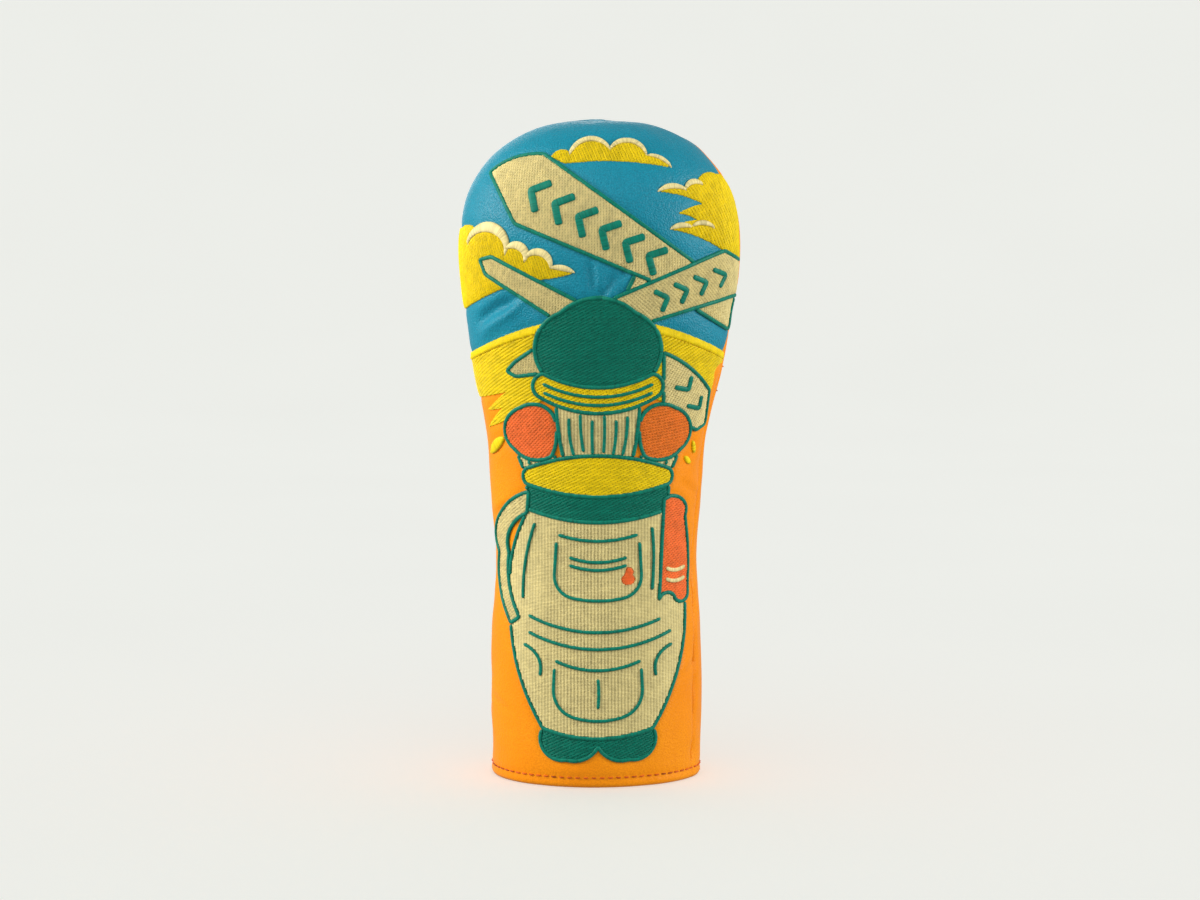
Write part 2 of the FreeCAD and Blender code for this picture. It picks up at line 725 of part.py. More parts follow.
def build():
    fill_sheet()
    depth = {
        "satin_face": cell("satin_thread"),
        "fill_face": cell("fill_thread"),
        "outer_face": "0",
        "leather_back": f"(0 - {cell('leather')})",
        "backing_back": f"(0 - {cell('leather')} - {cell('backing')})",
        "elastic_face": f"(0 - {cell('leather')} - {cell('backing')} - {cell('padding')} + {cell('elastic')})",
        "padding_back": f"(0 - {cell('leather')} - {cell('backing')} - {cell('padding')})",
    }
    lining_back = f"{cell('leather')} + {cell('backing')} + {cell('padding')} + {cell('lining')}"
    depth["lining_back"] = f"(0 - ({lining_back}))"
    depth["facing_back"] = f"(0 - ({lining_back}) - {cell('facing')})"
    body = {name: body_loft(name, grown) for name, grown in depth.items()}

    crown_outline = doc.addObject("Part::Feature", "crown_outline")
    crown_outline.Shape = crown_face()
    reach = f"{cell('art_front')} + 2 * {cell('art_back')}"
    crown_space = add("Part::Extrusion", "crown_space", LengthFwd=reach)
    crown_space.Base = crown_outline
    crown_space.Dir = Vector(0, -1, 0)
    crown_space.Solid = True
    crown_outline.Placement = Placement(Vector(0, size("art_back"), 0), Rotation())

    spaces = divide_space(crown_space)
    leather_parts(body, spaces)
    inner_parts(body, spaces)
    thread_layers = {
        "satin": shell("satin_layer", body, "satin_face", body["outer_face"], spaces["front"]),
        "fill": shell("fill_layer", body, "fill_face", body["outer_face"], spaces["front"]),
        "detail": shell("detail_layer", body, "satin_face", body["fill_face"], spaces["front"]),
    }
    art = Artwork()
    draw_bag(art)
    draw_club_covers(art)
    draw_boards(art)
    draw_sky(art)
    sew(art, thread_layers)
    doc.recompute()

    shape_node("hem_stitching", hem_stitches(body["outer_face"].Shape, body["facing_back"].Shape))
    shape_node("neck_gather_stitching", gather_stitches(body["outer_face"].Shape))
    shape_node("side_seam_stitching", side_seam_stitches(body["backing_back"].Shape))
    doc.recompute()


def check():
    """Stops the build at anything that failed to compute or is not a sound solid."""
    failed = [o.Name for o in doc.Objects if "Invalid" in o.State or "Error" in o.State]
    if failed:
        raise SystemExit(f"objects that failed: {failed}")
    for name, made in nodes.items():
        shape = made.Shape
        if shape.isNull() or not shape.isValid() or not shape.Solids or shape.Volume <= 0:
            raise SystemExit(f"sub-part {name} is not a sound solid")
    for made in doc.Objects:
        if made.Name.endswith("_thread"):
            flat_area = made.Shapes[1].Base.Shape.Area
            if made.Shape.Volume < 0.7 * flat_area * (size("satin_thread") - size("fill_thread")):
                raise SystemExit(f"thread {made.Name} lost part of its area")


def write():
    os.makedirs(OUT, exist_ok=True)
    for old in os.listdir(OUT):
        if old.endswith(".step"):
            os.remove(os.path.join(OUT, old))
    for name, made in sorted(nodes.items()):
        made.Shape.exportStep(os.path.join(OUT, f"{name}.step"))
        print(f"{name:24s} solids {len(made.Shape.Solids):3d}  volume {made.Shape.Volume:10.1f} mm3")


build()
check()
write()
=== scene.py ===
"""Looks of the driver head cover: puffed leather, rows of embroidery, a turned hem and a fleece lining.

Lengths are in millimetres until a mesh is made, which is in metres. The body is measured from the CAD
leather and kept as a grid over two measures: theta, the angle round the cover (0 in front, growing towards
+X), and t, the height above the floor, which over the crown goes on as an angle times FAN.
"""

import json
import math

import bmesh
import bpy
import numpy as np
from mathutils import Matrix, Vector
from mathutils.bvhtree import BVHTree

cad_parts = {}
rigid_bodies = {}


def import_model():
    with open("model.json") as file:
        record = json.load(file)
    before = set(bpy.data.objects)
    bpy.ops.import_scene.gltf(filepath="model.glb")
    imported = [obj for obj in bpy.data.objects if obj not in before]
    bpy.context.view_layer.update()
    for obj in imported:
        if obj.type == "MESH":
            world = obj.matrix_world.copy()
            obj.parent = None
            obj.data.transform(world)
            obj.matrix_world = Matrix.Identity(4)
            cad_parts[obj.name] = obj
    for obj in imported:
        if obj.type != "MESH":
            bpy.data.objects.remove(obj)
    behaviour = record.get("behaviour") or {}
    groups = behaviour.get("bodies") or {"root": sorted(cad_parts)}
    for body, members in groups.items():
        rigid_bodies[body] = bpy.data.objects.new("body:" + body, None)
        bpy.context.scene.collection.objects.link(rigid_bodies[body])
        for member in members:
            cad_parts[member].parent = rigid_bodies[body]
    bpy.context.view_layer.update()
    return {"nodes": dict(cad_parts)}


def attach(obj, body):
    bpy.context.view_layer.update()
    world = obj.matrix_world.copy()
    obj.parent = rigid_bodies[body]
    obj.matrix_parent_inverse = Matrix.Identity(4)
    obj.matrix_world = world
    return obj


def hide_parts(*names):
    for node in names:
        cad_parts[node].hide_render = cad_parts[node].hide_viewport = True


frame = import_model()

MM = 0.001
rng = np.random.default_rng(11)

# How far each layer's face lies under the leather's outer face, as in the CAD model.
LEATHER_BACK = 1.2
BACKING_BACK = 1.6
ELASTIC_FACE = 2.8
PADDING_BACK = 4.0
LINING_BACK = 6.5
FACING_BACK = 7.5
GAP = 0.05

# Where embroidery starts and ends, measured outwards from the leather's outer face.
THREAD_ROOT = -0.3
FILL_TOP = 0.9
SATIN_TOP = 1.4

# The hem, the elastic and its two gathering rows, as in the CAD model.
HEM_FOLD = 1.2
FACING_HEIGHT = 18.0
HEM_STITCH_HEIGHT = 5.2
STITCH_PITCH = 4.2
ELASTIC_LOW, ELASTIC_HIGH = 198.0, 216.0
GATHER_ROWS = (ELASTIC_LOW + 2.7, ELASTIC_HIGH - 2.7)

# The plane of the side seams, as in the CAD model: its place on the Y axis and its angles in degrees.
SEAM_SHIFT, SEAM_TURN, SEAM_TILT = -10.0, -7.5, -2.9

# How far the inner layers stay from it, the leather's allowance along it, and the backing's lowest height.
SEAM_ROOM = 2.2
SEAM_ALLOWANCE = 1.2
BACKING_MARGIN = 9.0


# ---------------------------------------- the body, measured from the CAD leather

LEATHER_NODES = ("front_crown_panel", "front_sleeve_panel", "back_panel")
CROWN_BASE = 275.0
FAN = 62.0
TOP = CROWN_BASE + FAN * math.pi / 2
LEVELS, TURNS = 560, 720
FRONT_COLUMN = TURNS // 2
RAY_STEP = 4
RAY_START = 200.0
LOWEST_RAY = 0.6
theta_grid = np.linspace(-math.pi, math.pi, TURNS + 1)
t_grid = np.linspace(0.0, TOP, LEVELS + 1)


def rays(theta, t):
    """Where each place's ray starts on the axis, and its direction outwards."""
    climb = np.clip((t - CROWN_BASE) / FAN, 0, math.pi / 2)
    start = np.stack([0 * t, 0 * t, np.minimum(t, CROWN_BASE)], -1)
    way = np.stack([np.cos(climb) * np.sin(theta), -np.cos(climb) * np.cos(theta), np.sin(climb)], -1)
    return start, way


def place_of(x, y, z):
    """theta and t of points on the body."""
    climb = np.arctan2(z - CROWN_BASE, np.hypot(x, y))
    return np.arctan2(x, -y), np.where(z < CROWN_BASE, z, CROWN_BASE + FAN * climb)


def leather_tree():
    """The CAD leather, in millimetres, ready for rays."""
    points, faces = [], []
    for name in LEATHER_NODES:
        mesh = frame["nodes"][name].data
        first = len(points)
        points += [v.co / MM for v in mesh.vertices]
        faces += [[first + i for i in p.vertices] for p in mesh.polygons]
    return BVHTree.FromPolygons(points, faces)


def bell(width, reach):
    """The steps up to reach either way, each after its weight in a Gaussian blur of that width."""
    steps = range(-reach, reach + 1)
    weights = np.exp(-0.5 * (np.array(steps) / width) ** 2)
    return list(zip(weights / weights.sum(), steps))


def slid(padded, width, reach):
    """A list of values blurred along its first axis; reach more of them pad each end and are lost."""
    count = len(padded) - 2 * reach
    return sum(w * padded[k + reach:k + reach + count] for w, k in bell(width, reach))


def blurred(field, rows, columns):
    """A Gaussian blur over the grid, round the cover and over its pole; rows and columns are its widths."""
    field = field[:, :TURNS]
    field = sum(w * np.roll(field, k, axis=1) for w, k in bell(columns, int(3 * columns)))
    reach = int(3 * rows)
    below = 2 * field[:1] - field[reach:0:-1]
    over_the_pole = np.roll(field[-2:-reach - 2:-1], TURNS // 2, axis=1)
    field = slid(np.concatenate([below, field, over_the_pole]), rows, reach)
    return np.concatenate([field, field[:, :1]], axis=1)


def refined(coarse, levels, step, blur):
    """The whole grid, blurred, from a coarse one that has those levels and every step-th column."""
    closed = np.concatenate([coarse, coarse[:, :1]], axis=1)
    wide = np.stack([np.interp(theta_grid, theta_grid[::step], row) for row in closed])
    full = np.stack([np.interp(t_grid, levels, column) for column in wide.T], axis=1)
    return blurred(full, blur, blur)


def measured_body(tree):
    """Points of the body over the whole grid, from rays cast inwards at the CAD leather."""
    levels, thetas = t_grid[::RAY_STEP], theta_grid[:-1:RAY_STEP]
    radius = np.empty((len(levels), len(thetas)))
    for j, t in enumerate(levels):
        for k, theta in enumerate(thetas):
            start, way = rays(np.float64(theta), np.float64(max(t, LOWEST_RAY)))
            hit = tree.ray_cast(Vector(start + way * RAY_START), Vector(-way))
            radius[j, k] = RAY_START - hit[3]
    start, way = rays(*np.meshgrid(theta_grid, t_grid))
    return start + way * refined(radius, levels, RAY_STEP, 3.0)[..., None]


def outward(points):
    """Unit normals of a grid of points."""
    around = np.empty_like(points)
    around[:, 1:-1] = points[:, 2:] - points[:, :-2]
    around[:, 0] = around[:, -1] = points[:, 1] - points[:, -2]
    up = np.gradient(points, axis=0)
    normal = np.cross(around, up)
    normal[-1] = normal[-2].mean(axis=0)
    return normal / np.maximum(np.linalg.norm(normal, axis=-1, keepdims=True), 1e-9)


def between(field, row, column):
    """A grid's value between its nearest four points."""
    j = np.minimum(row.astype(int), field.shape[0] - 2)
    k = np.minimum(column.astype(int), field.shape[1] - 2)
    a, b = column - k, row - j
    if field.ndim == 3:
        a, b = a[..., None], b[..., None]
    low = field[j, k] * (1 - a) + field[j, k + 1] * a
    high = field[j + 1, k] * (1 - a) + field[j + 1, k + 1] * a
    return low * (1 - b) + high * b


def sample(field, theta, t):
    """A grid's value at any places on the cover."""
    column = (np.asarray(theta) + math.pi) / (2 * math.pi) % 1.0 * TURNS
    return between(field, np.clip(np.asarray(t) / TOP, 0, 1) * LEVELS, column)


leather = leather_tree()
body = measured_body(leather)
normals = outward(body)
x_field, z_field = body[..., 0], body[..., 2]
t_field = np.broadcast_to(t_grid[:, None], body.shape[:2])

seam_turn, seam_tilt = math.radians(SEAM_TURN), math.radians(SEAM_TILT)
seam_normal = np.array([
    -math.sin(seam_turn) * math.cos(seam_tilt),
    math.cos(seam_turn) * math.cos(seam_tilt),
    math.sin(seam_tilt),
])
seam_field = (body - np.array([0, SEAM_SHIFT, 0])) @ seam_normal


# ---------------------------------------- a chart of the front: lengths along the leather

steps = np.linalg.norm(np.diff(body, axis=1), axis=2)
along_field = np.concatenate([np.zeros((LEVELS + 1, 1)), np.cumsum(steps, axis=1)], axis=1)
along_field -= along_field[:, FRONT_COLUMN:FRONT_COLUMN + 1]
up_line = np.concatenate([[0], np.cumsum(np.linalg.norm(np.diff(body[:, FRONT_COLUMN], axis=0), axis=1))])
SHARES = np.linspace(-1, 1, TURNS + 1)
right_reach = np.maximum(along_field[:, -1], 1e-6)
left_reach = np.maximum(-along_field[:, 0], 1e-6)


def table_of_angles():
    """theta at each share of the way round to the back, for every level."""
    rows = []
    for j in range(LEVELS + 1):
        along = SHARES * np.where(SHARES > 0, right_reach[j], left_reach[j])
        rows.append(np.interp(along, along_field[j], theta_grid) if j < LEVELS else SHARES * math.pi)
    return np.stack(rows)


angle_table = table_of_angles()


def from_chart(across, up):
    """theta and t of a place given by its length across from the front's middle and its length up."""
    t = np.interp(up, up_line, t_grid)
    row = t / TOP * LEVELS
    right, left = (np.interp(row, np.arange(LEVELS + 1), reach) for reach in (right_reach, left_reach))
    share = np.clip(across / np.where(across > 0, right, left), -1, 1)
    return between(angle_table, row, (share + 1) / 2 * TURNS), t


# ---------------------------------------- the artwork, drawn flat in XZ, in millimetres
# The same outlines as in the CAD model: (x, z) is reached by a straight line and (mx, mz, x, z) by an arc
# through (mx, mz). A sickle of satin is its start, outer arc, end and the middle of its inner arc.

TOWEL = [
    (33.5, 147), (41.5, 147.5, 44.5, 138), (46.2, 118, 46.2, 97), (42.5, 93.5, 39, 96.5), (35, 99, 31, 95.5),
    (32.2, 120, 33.5, 147),
]
TOWEL_STRIPES = [[(34.3, 106), (39.5, 104.5, 44, 106)], [(34.5, 111.5), (39.5, 110, 44, 111.5)]]
STRAP = [
    (-35, 151), (-48.5, 141, -50.5, 118), (-50.2, 100, -44.5, 82.5), (-40, 86), (-45.3, 103, -45.3, 118),
    (-43.8, 133, -36, 140),
]
RIM = [(-36, 163), (0, 170, 36, 163), (37.8, 158.8, 36, 155), (0, 149, -36, 155), (-37.8, 158.8, -36, 163)]
COLLAR = [(-36, 155), (0, 149, 36, 155), (35.2, 142), (0, 136, -35.2, 142)]
BAG = [
    (-35.2, 142), (0, 136, 35.2, 142), (43, 121, 44.5, 95), (41.5, 62, 28, 30), (0, 25.5, -28, 30),
    (-41.5, 62, -44.5, 95), (-43, 121, -35.2, 142),
]
BASE = [
    (-28, 30), (0, 25.5, 28, 30), (26.5, 17.5, 16, 14.5), (6, 15.5, 0, 21.5), (-6, 15.5, -16, 14.5),
    (-26.5, 17.5, -28, 30),
]
BAG_LINES = [
    [(-35, 87.5), (-2, 80, 31.5, 86)],
    [(-35, 79), (0, 71.3, 37, 79.5)],
    [(-20, 129.5), (0, 126.5, 20, 129.5)],
    [
        (-21, 125.5), (-22, 108.3), (-19.5, 101.2, -13, 97.3), (0, 96, 13, 97.3), (19.5, 101.2, 22, 108.3),
        (21, 125.5),
    ],
    [(-14.5, 118), (0, 115.6, 14.5, 118)],
    [(-14.5, 114), (0, 111.6, 14.5, 114)],
    [(-21.5, 65), (0, 60.5, 21.5, 65)],
    [
        (-22, 61), (-22.5, 49.8), (-19.6, 41.2, -12, 36.2), (0, 34.6, 12, 36.2), (19.6, 41.2, 22.5, 49.8),
        (22, 61),
    ],
    [(0, 56), (0.4, 48.5, 0, 41)],
    [(-32, 135), (-36.5, 116, -38, 96)],
    [(27.3, 133), (28.1, 116, 27.3, 101)],
    [(-37.5, 72.5), (-30.5, 67, -29.5, 57)],
    [(37.5, 72.5), (30.5, 67, 29.5, 57)],
]
ZIP_PULL = [(14.5, 112.5), (17.3, 112.2, 17.6, 109), (17, 104.3, 15.5, 104.3), (13.4, 104.3, 13.4, 109)]
CUFF = [
    (-27.5, 211.5), (0, 204.5, 27.5, 211.5), (32.5, 207, 30, 200), (0, 191.5, -30, 200),
    (-32.5, 207, -27.5, 211.5),
]
CUFF_LINES = [[(-27.5, 206.3), (0, 199.8, 27.5, 206.3)], [(-27.3, 202), (0, 195.6, 27.3, 202)]]
DOME = [
    (-27.5, 211.5), (-31, 229, -19, 242), (0, 249.5, 19, 242), (31, 229, 27.5, 211.5),
    (0, 204.5, -27.5, 211.5),
]
SOCK = [(-21, 199), (-19.5, 180, -15, 160), (15, 160), (19.5, 180, 21, 199)]
SOCK_LINES = [
    [(-14.6, 189), (-14, 178, -11.6, 168.5)],
    [(-8.8, 191), (-8.4, 180, -7.2, 172)],
    [(-2.8, 188), (-2.9, 178, -2.5, 169.5)],
    [(3.2, 190.5), (3.3, 180, 2.8, 171.5)],
    [(9.2, 188), (8.8, 178, 7.4, 169.5)],
    [(14.8, 190), (14.2, 180, 12.2, 170)],
]
SIDE_COVER = [
    (-42, 172.5), (-47, 184, -39, 194), (-28, 195, -21, 186), (-21, 178, -23.5, 169.5),
    (-33, 167.5, -42, 172.5),
]
SIDE_SOCK = [(-41.5, 173.5), (-38.5, 165, -34.5, 157), (-20, 157), (-22, 170)]
SIDE_SOCK_LINES = [
    [(-35.5, 168.2), (-34.8, 166.2, -33.6, 164.5)],
    [(-30.3, 167.6), (-29.9, 166.2, -29, 165)],
]
RIGHT_BOARD = [(0, 246), (63.8, 273), (74.5, 267), (71.5, 251), (24, 237)]
LONG_BOARD = [(-54.5, 312.5), (-42, 319.3, -27, 321), (69.5, 252), (66, 233), (28, 257.5), (-41.5, 286.5)]
LEFT_BOARD = [(-59.6, 268.4), (-53.6, 270), (-2, 243.5), (-17, 236), (-56.8, 261.2)]
LOW_BOARD = [(33, 222), (47.5, 213, 56.5, 202), (55, 184.5), (50, 181.5), (33, 197)]
LOW_TIP = [(-45.8, 212.4), (-41.9, 217), (-25, 229), (-25, 212), (-41.3, 209.8)]
POST = [(20, 264), (26, 261), (19, 245), (12.5, 249)]
TOP_CLOUD = [
    (-23.5, 319.5), (-18.3, 323.4, -13, 321.5), (-4, 330, 6, 323), (17, 329, 24, 320.5),
    (31.5, 319.8, 37, 314.5), (9, 317.6, -17, 316.4),
]
TOP_CLOUD_CRESTS = [
    ((-14.5, 320), (-4.3, 330.2), (6.3, 322.6), (-4.2, 327.2)),
    ((5.6, 322.8), (16.6, 329.2), (24.4, 319.8), (16, 326.4)),
    ((24.2, 320.6), (31.5, 320.2), (37, 314.5), (31, 318.3)),
]
RIGHT_CLOUD = [
    (90, 312.5), (60, 312), (52.5, 311.3, 50.3, 307), (47.3, 308.4, 44.3, 304), (37, 306, 29.8, 302.3),
    (40, 301, 53, 296.5), (46, 294.6, 39.8, 291.2), (45, 290.6, 49.5, 288.4), (42.5, 287, 36, 283.5),
    (50, 280, 64, 272.5), (77, 264), (90, 258),
]
RIGHT_CLOUD_CRESTS = [
    ((29.8, 302.3), (37.3, 306.4), (44.6, 303), (37.6, 304)),
    ((44, 303.4), (47.6, 308.8), (53, 305.6), (48, 306.4)),
    ((36, 283.5), (41.8, 286.8), (47.2, 284.6), (42, 284.6)),
    ((46.8, 284.8), (52.2, 288), (58.8, 283.8), (52.4, 286)),
]
LEFT_CLOUD = [
    (-90, 286), (-70, 284.5), (-66, 286.3, -62, 283), (-54, 287, -46, 275.5), (-41, 277.2, -37, 268.5),
    (-29.5, 273.6, -23.8, 264.8), (-17.3, 265.2, -11.5, 262), (-21, 259.5, -30, 258.3),
    (-50, 253, -68, 243.5), (-90, 236),
]
LEFT_CLOUD_CRESTS = [
    ((-66, 275.5), (-54, 287.2), (-46.8, 270.5), (-54.2, 282.2)),
    ((-46, 273.6), (-40.6, 277.4), (-37, 267.2), (-41, 273.9)),
    ((-36.8, 268.3), (-29.7, 273.9), (-23.8, 263.6), (-30, 270.7)),
    ((-24.2, 264.4), (-17.5, 265.6), (-11.5, 262), (-18, 263.2)),
]
FLECKS = [
    ((-54.5, 169), (-53.2, 176), (-47.5, 178), (-50.5, 171.5)),
    ((44.2, 168.6), (46.4, 167.6), (47.6, 164), (45.4, 165.2)),
    ((48.6, 176.5), (50.2, 173), (49.4, 169), (48.3, 172.5)),
]
HORIZON_TOP = [(-80, 210.6), (-0.5, 239.6, 80, 210.6)]
HORIZON = HORIZON_TOP + [
    (80, 217), (62.5, 214.8), (60, 212, 59.4, 208), (58.2, 203, 56, 196), (50, 190), (45, 184, 39, 188),
    (34, 196, 26, 199), (-26, 199), (-40, 190.5, -55.5, 183), (-52.3, 188.8, -48, 193.5),
    (-52, 192.3, -56, 192), (-51.7, 197, -46.5, 201.5), (-54, 199.6, -62, 197.5), (-80, 194),
]
HORIZON_EDGE_WIDTH = 4.6
SEAM_DROP = 2.3
EDGE_WIDTH = 1.7
LINE_WIDTH = 1.35
DRAWN_STEP = 0.35


def arc(start, middle, end):
    """Points after start along the arc through middle to end."""
    start, middle, end = (np.array(p, float) for p in (start, middle, end))
    m, e = middle - start, end - start
    turn = 2 * (m[0] * e[1] - m[1] * e[0])
    if abs(turn) < 1e-9:
        return straight(start, end)
    mm, ee = m @ m, e @ e
    centre = start + np.array([e[1] * mm - m[1] * ee, m[0] * ee - e[0] * mm]) / turn
    radius = np.linalg.norm(start - centre)
    first = math.atan2(*(start - centre)[::-1])
    sweep = (math.atan2(*(end - centre)[::-1]) - first) % (2 * math.pi)
    if turn < 0:
        sweep -= 2 * math.pi
    count = max(2, int(abs(sweep) * radius / DRAWN_STEP))
    angles = first + sweep * np.arange(1, count + 1) / count
    return centre + radius * np.stack([np.cos(angles), np.sin(angles)], 1)


def straight(start, end):
    """Points after start along the line to end."""
    start, end = np.array(start, float), np.array(end, float)
    count = max(1, int(np.linalg.norm(end - start) / DRAWN_STEP))
    return start + (end - start) * (np.arange(1, count + 1) / count)[:, None]


def drawn(points, closed=False):
    """Close points along a drawn path."""
    found, last = [np.array([points[0]], float)], points[0]
    for p in points[1:]:
        found.append(arc(last, p[:2], p[2:]) if len(p) == 4 else straight(last, p))
        last = p[-2:]
    if closed and math.dist(last, points[0]) > 1e-6:
        found.append(straight(last, points[0]))
    return np.concatenate(found)


def crescent(start, outer, end, inner):
    """The outline of a sickle between two arcs."""
    return [start, outer + end, inner + start]


def mirrored(points):
    """The same path on the other side of the middle."""
    return [tuple(-v if i % 2 == 0 else v for i, v in enumerate(p)) for p in points]


CHEVRON_TAPER = 0.12


def chevrons(start, end, count, angle, height, width, depth):
    """Arrow heads in a row: each a satin line from one tail over the tip to the other tail."""
    found = []
    c, s = math.cos(math.radians(angle)), math.sin(math.radians(angle))
    for i in range(count):
        share = i / (count - 1)
        x = start[0] + share * (end[0] - start[0])
        z = start[1] + share * (end[1] - start[1])
        tall = height * (1 - CHEVRON_TAPER * share)
        corners = [(-width, tall / 2), (depth - width / 2, 0), (-width, -tall / 2)]
        across = width * tall / 2 / math.hypot(depth + width / 2, tall / 2)
        found.append(("board_arrows", across, [(x + u * c - v * s, z + u * s + v * c) for u, v in corners]))
    return found


def horizon_edge():
    """The outline of the raised strip along the horizon's top."""
    (x0, z0), (xm, zm, x1, z1) = HORIZON_TOP
    w = HORIZON_EDGE_WIDTH
    return HORIZON_TOP + [(x1, z1 - w), (xm, zm - w, x0, z0 - w)]


# ---------------------------------------- who owns each spot of the artwork

SPOT = 0.1
ART_LEFT, ART_RIGHT, ART_HIGH = -95.0, 95.0, 345.0


class Sheet:
    """A flat map of the artwork, SPOT fine: which patch of thread is on top at each place."""

    def __init__(self):
        self.map = np.zeros((int(ART_HIGH / SPOT), int((ART_RIGHT - ART_LEFT) / SPOT)), np.int32)

    def fill(self, outline, value, inside=None):
        """Gives the inside of a closed outline a value, where what is there already is in inside."""
        a, b = outline, np.roll(outline, -1, axis=0)
        low = max(0, int(outline[:, 1].min() / SPOT))
        high = min(len(self.map) - 1, int(outline[:, 1].max() / SPOT) + 1)
        for row in range(low, high):
            z = (row + 0.5) * SPOT
            hit = (a[:, 1] > z) != (b[:, 1] > z)
            cut = a[hit, 0] + (z - a[hit, 1]) * (b[hit, 0] - a[hit, 0]) / (b[hit, 1] - a[hit, 1])
            cut = np.clip(np.round((np.sort(cut) - ART_LEFT) / SPOT).astype(int), 0, self.map.shape[1])
            for left, right in zip(cut[::2], cut[1::2]):
                part = self.map[row, left:right]
                if inside is None:
                    part[:] = value
                else:
                    part[np.isin(part, inside)] = value

    def trace(self, path, width, value):
        """Gives a band along a path a value."""
        r = int(round(width / 2 / SPOT))
        disc = np.hypot(*np.mgrid[-r:r + 1, -r:r + 1]) <= width / 2 / SPOT
        for x, z in path:
            j, k = int(z / SPOT), int((x - ART_LEFT) / SPOT)
            part = self.map[j - r:j + r + 1, k - r:k + r + 1]
            if part.shape == disc.shape:
                part[disc] = value

    def at(self, x, z):
        """The values at any places."""
        j = np.clip((np.asarray(z) / SPOT).astype(int), 0, self.map.shape[0] - 1)
        k = np.clip(((np.asarray(x) - ART_LEFT) / SPOT).astype(int), 0, self.map.shape[1] - 1)
        return self.map[j, k]


class Patch:
    """One filled outline with its satin edge, its satin lines, its sickle-shaped crests and its zip pull."""

    def __init__(self, node, outline, grain, edge=None, lines=(), crests=(), pull=None, satin=False,
                 sickle=None):
        self.node, self.outline, self.grain, self.edge = node, drawn(outline, closed=True), grain, edge
        self.lines, self.crests, self.pull, self.satin, self.sickle = lines, crests, pull, satin, sickle


def grain(angle, pitch=0.62, stitch=3.3, shift=None):
    """How the rows of a fill run: their angle from level, the distance between them, a stitch's length, and
    how far each row's needle holes are from the last row's, which is uneven where shift is None."""
    return angle, pitch, stitch, shift


RIBBED = grain(0, 0.7, 1.72, 0.0)
SLANTED = grain(0, 0.6, 3.2, 1.04)


def side_patches(name, turned):
    """The left or the right cover, with the sock under it."""
    ribs = [("club_cover_ribs", LINE_WIDTH, turned(p)) for p in SIDE_SOCK_LINES]
    angle = 18 if name == "left" else -18
    return [
        Patch(f"{name}_cover_fill", turned(SIDE_COVER), grain(angle), "club_cover_outline"),
        Patch("side_sock_fill", turned(SIDE_SOCK), RIBBED, "club_cover_outline", ribs),
    ]


def pile():
    """Every patch, from the top of the pile down."""
    detail = [("bag_detail_lines", LINE_WIDTH, p) for p in BAG_LINES]
    stripes = [("towel_stripes", EDGE_WIDTH, p) for p in TOWEL_STRIPES]
    cuff = [("club_cover_ribs", LINE_WIDTH, p) for p in CUFF_LINES]
    ribs = [("club_cover_ribs", LINE_WIDTH, p) for p in SOCK_LINES]
    right_heads = chevrons((33, 249), (62.5, 260.3), 4, 21, 11, 3.4, 3.6)
    long_heads = chevrons((-31, 301.5), (27, 269.5), 6, 151, 16.5, 4.8, 4.6)
    low_heads = chevrons((44.5, 204.5), (50.3, 194.5), 2, -57, 10, 3.2, 3.4)
    return [
        Patch("towel_fill", TOWEL, grain(5), "bag_outline", stripes),
        Patch("strap_fill", STRAP, grain(10), "bag_outline"),
        Patch("bag_rim_fill", RIM, grain(0), "bag_outline"),
        Patch("bag_collar_fill", COLLAR, grain(0), "bag_outline"),
        Patch("bag_body_fill", BAG, RIBBED, "bag_outline", detail, pull=ZIP_PULL),
        Patch("bag_base_fill", BASE, grain(0), "bag_outline"),
        Patch("centre_cuff_fill", CUFF, grain(0), "club_cover_outline", cuff),
        Patch("centre_dome_fill", DOME, grain(0), "club_cover_outline"),
        Patch("centre_sock_fill", SOCK, RIBBED, "club_cover_outline", ribs),
        *side_patches("left", list),
        *side_patches("right", mirrored),
        Patch("right_board_fill", RIGHT_BOARD, grain(112), "board_outline", right_heads),
        Patch("long_board_fill", LONG_BOARD, grain(64), "board_outline", long_heads),
        Patch("left_board_fill", LEFT_BOARD, grain(62), "board_outline"),
        Patch("low_board_fill", LOW_BOARD, grain(30), "board_outline", low_heads),
        Patch("low_board_fill", LOW_TIP, grain(60), "board_outline"),
        Patch("post_fill", POST, grain(20), "board_outline"),
        Patch("top_cloud_fill", TOP_CLOUD, grain(84), crests=TOP_CLOUD_CRESTS),
        Patch("right_cloud_fill", RIGHT_CLOUD, grain(98, 0.62, 3.2, 1.04), crests=RIGHT_CLOUD_CRESTS),
        Patch("left_cloud_fill", LEFT_CLOUD, grain(84), crests=LEFT_CLOUD_CRESTS),
        *[Patch("light_flecks", crescent(*f), None, sickle=f) for f in FLECKS],
        Patch("horizon_edge", horizon_edge(), grain(90, 0.5), satin=True),
        Patch("horizon_fill", HORIZON, SLANTED),
    ]


# The map's values: a fill is its patch's index plus one, an edge is that index plus EDGE, a crest is its
# number plus CREST, and the zip pull is PULL. SEAM_MARGIN is how far fills stay in front of the side seams.
EDGE, CREST, PULL = 1000, 2000, 3000
SEAM_MARGIN = 0.7


def owners(patches, with_edges):
    """The map of which patch, crest or pull is on top; with_edges gives satin edges their own values."""
    found, crests = Sheet(), 0
    for index in range(len(patches) - 1, -1, -1):
        patch = patches[index]
        found.fill(patch.outline, index + 1)
        for points in patch.crests:
            found.fill(drawn(crescent(*points), closed=True), CREST + crests, inside=[index + 1])
            crests += 1
        if patch.pull:
            found.fill(drawn(patch.pull, closed=True), PULL)
        if patch.edge and with_edges:
            found.trace(patch.outline, EDGE_WIDTH, EDGE + index)
    return found, crests


patches = pile()
sheet, crest_count = owners(patches, True)
fill_sheet, _ = owners(patches, False)

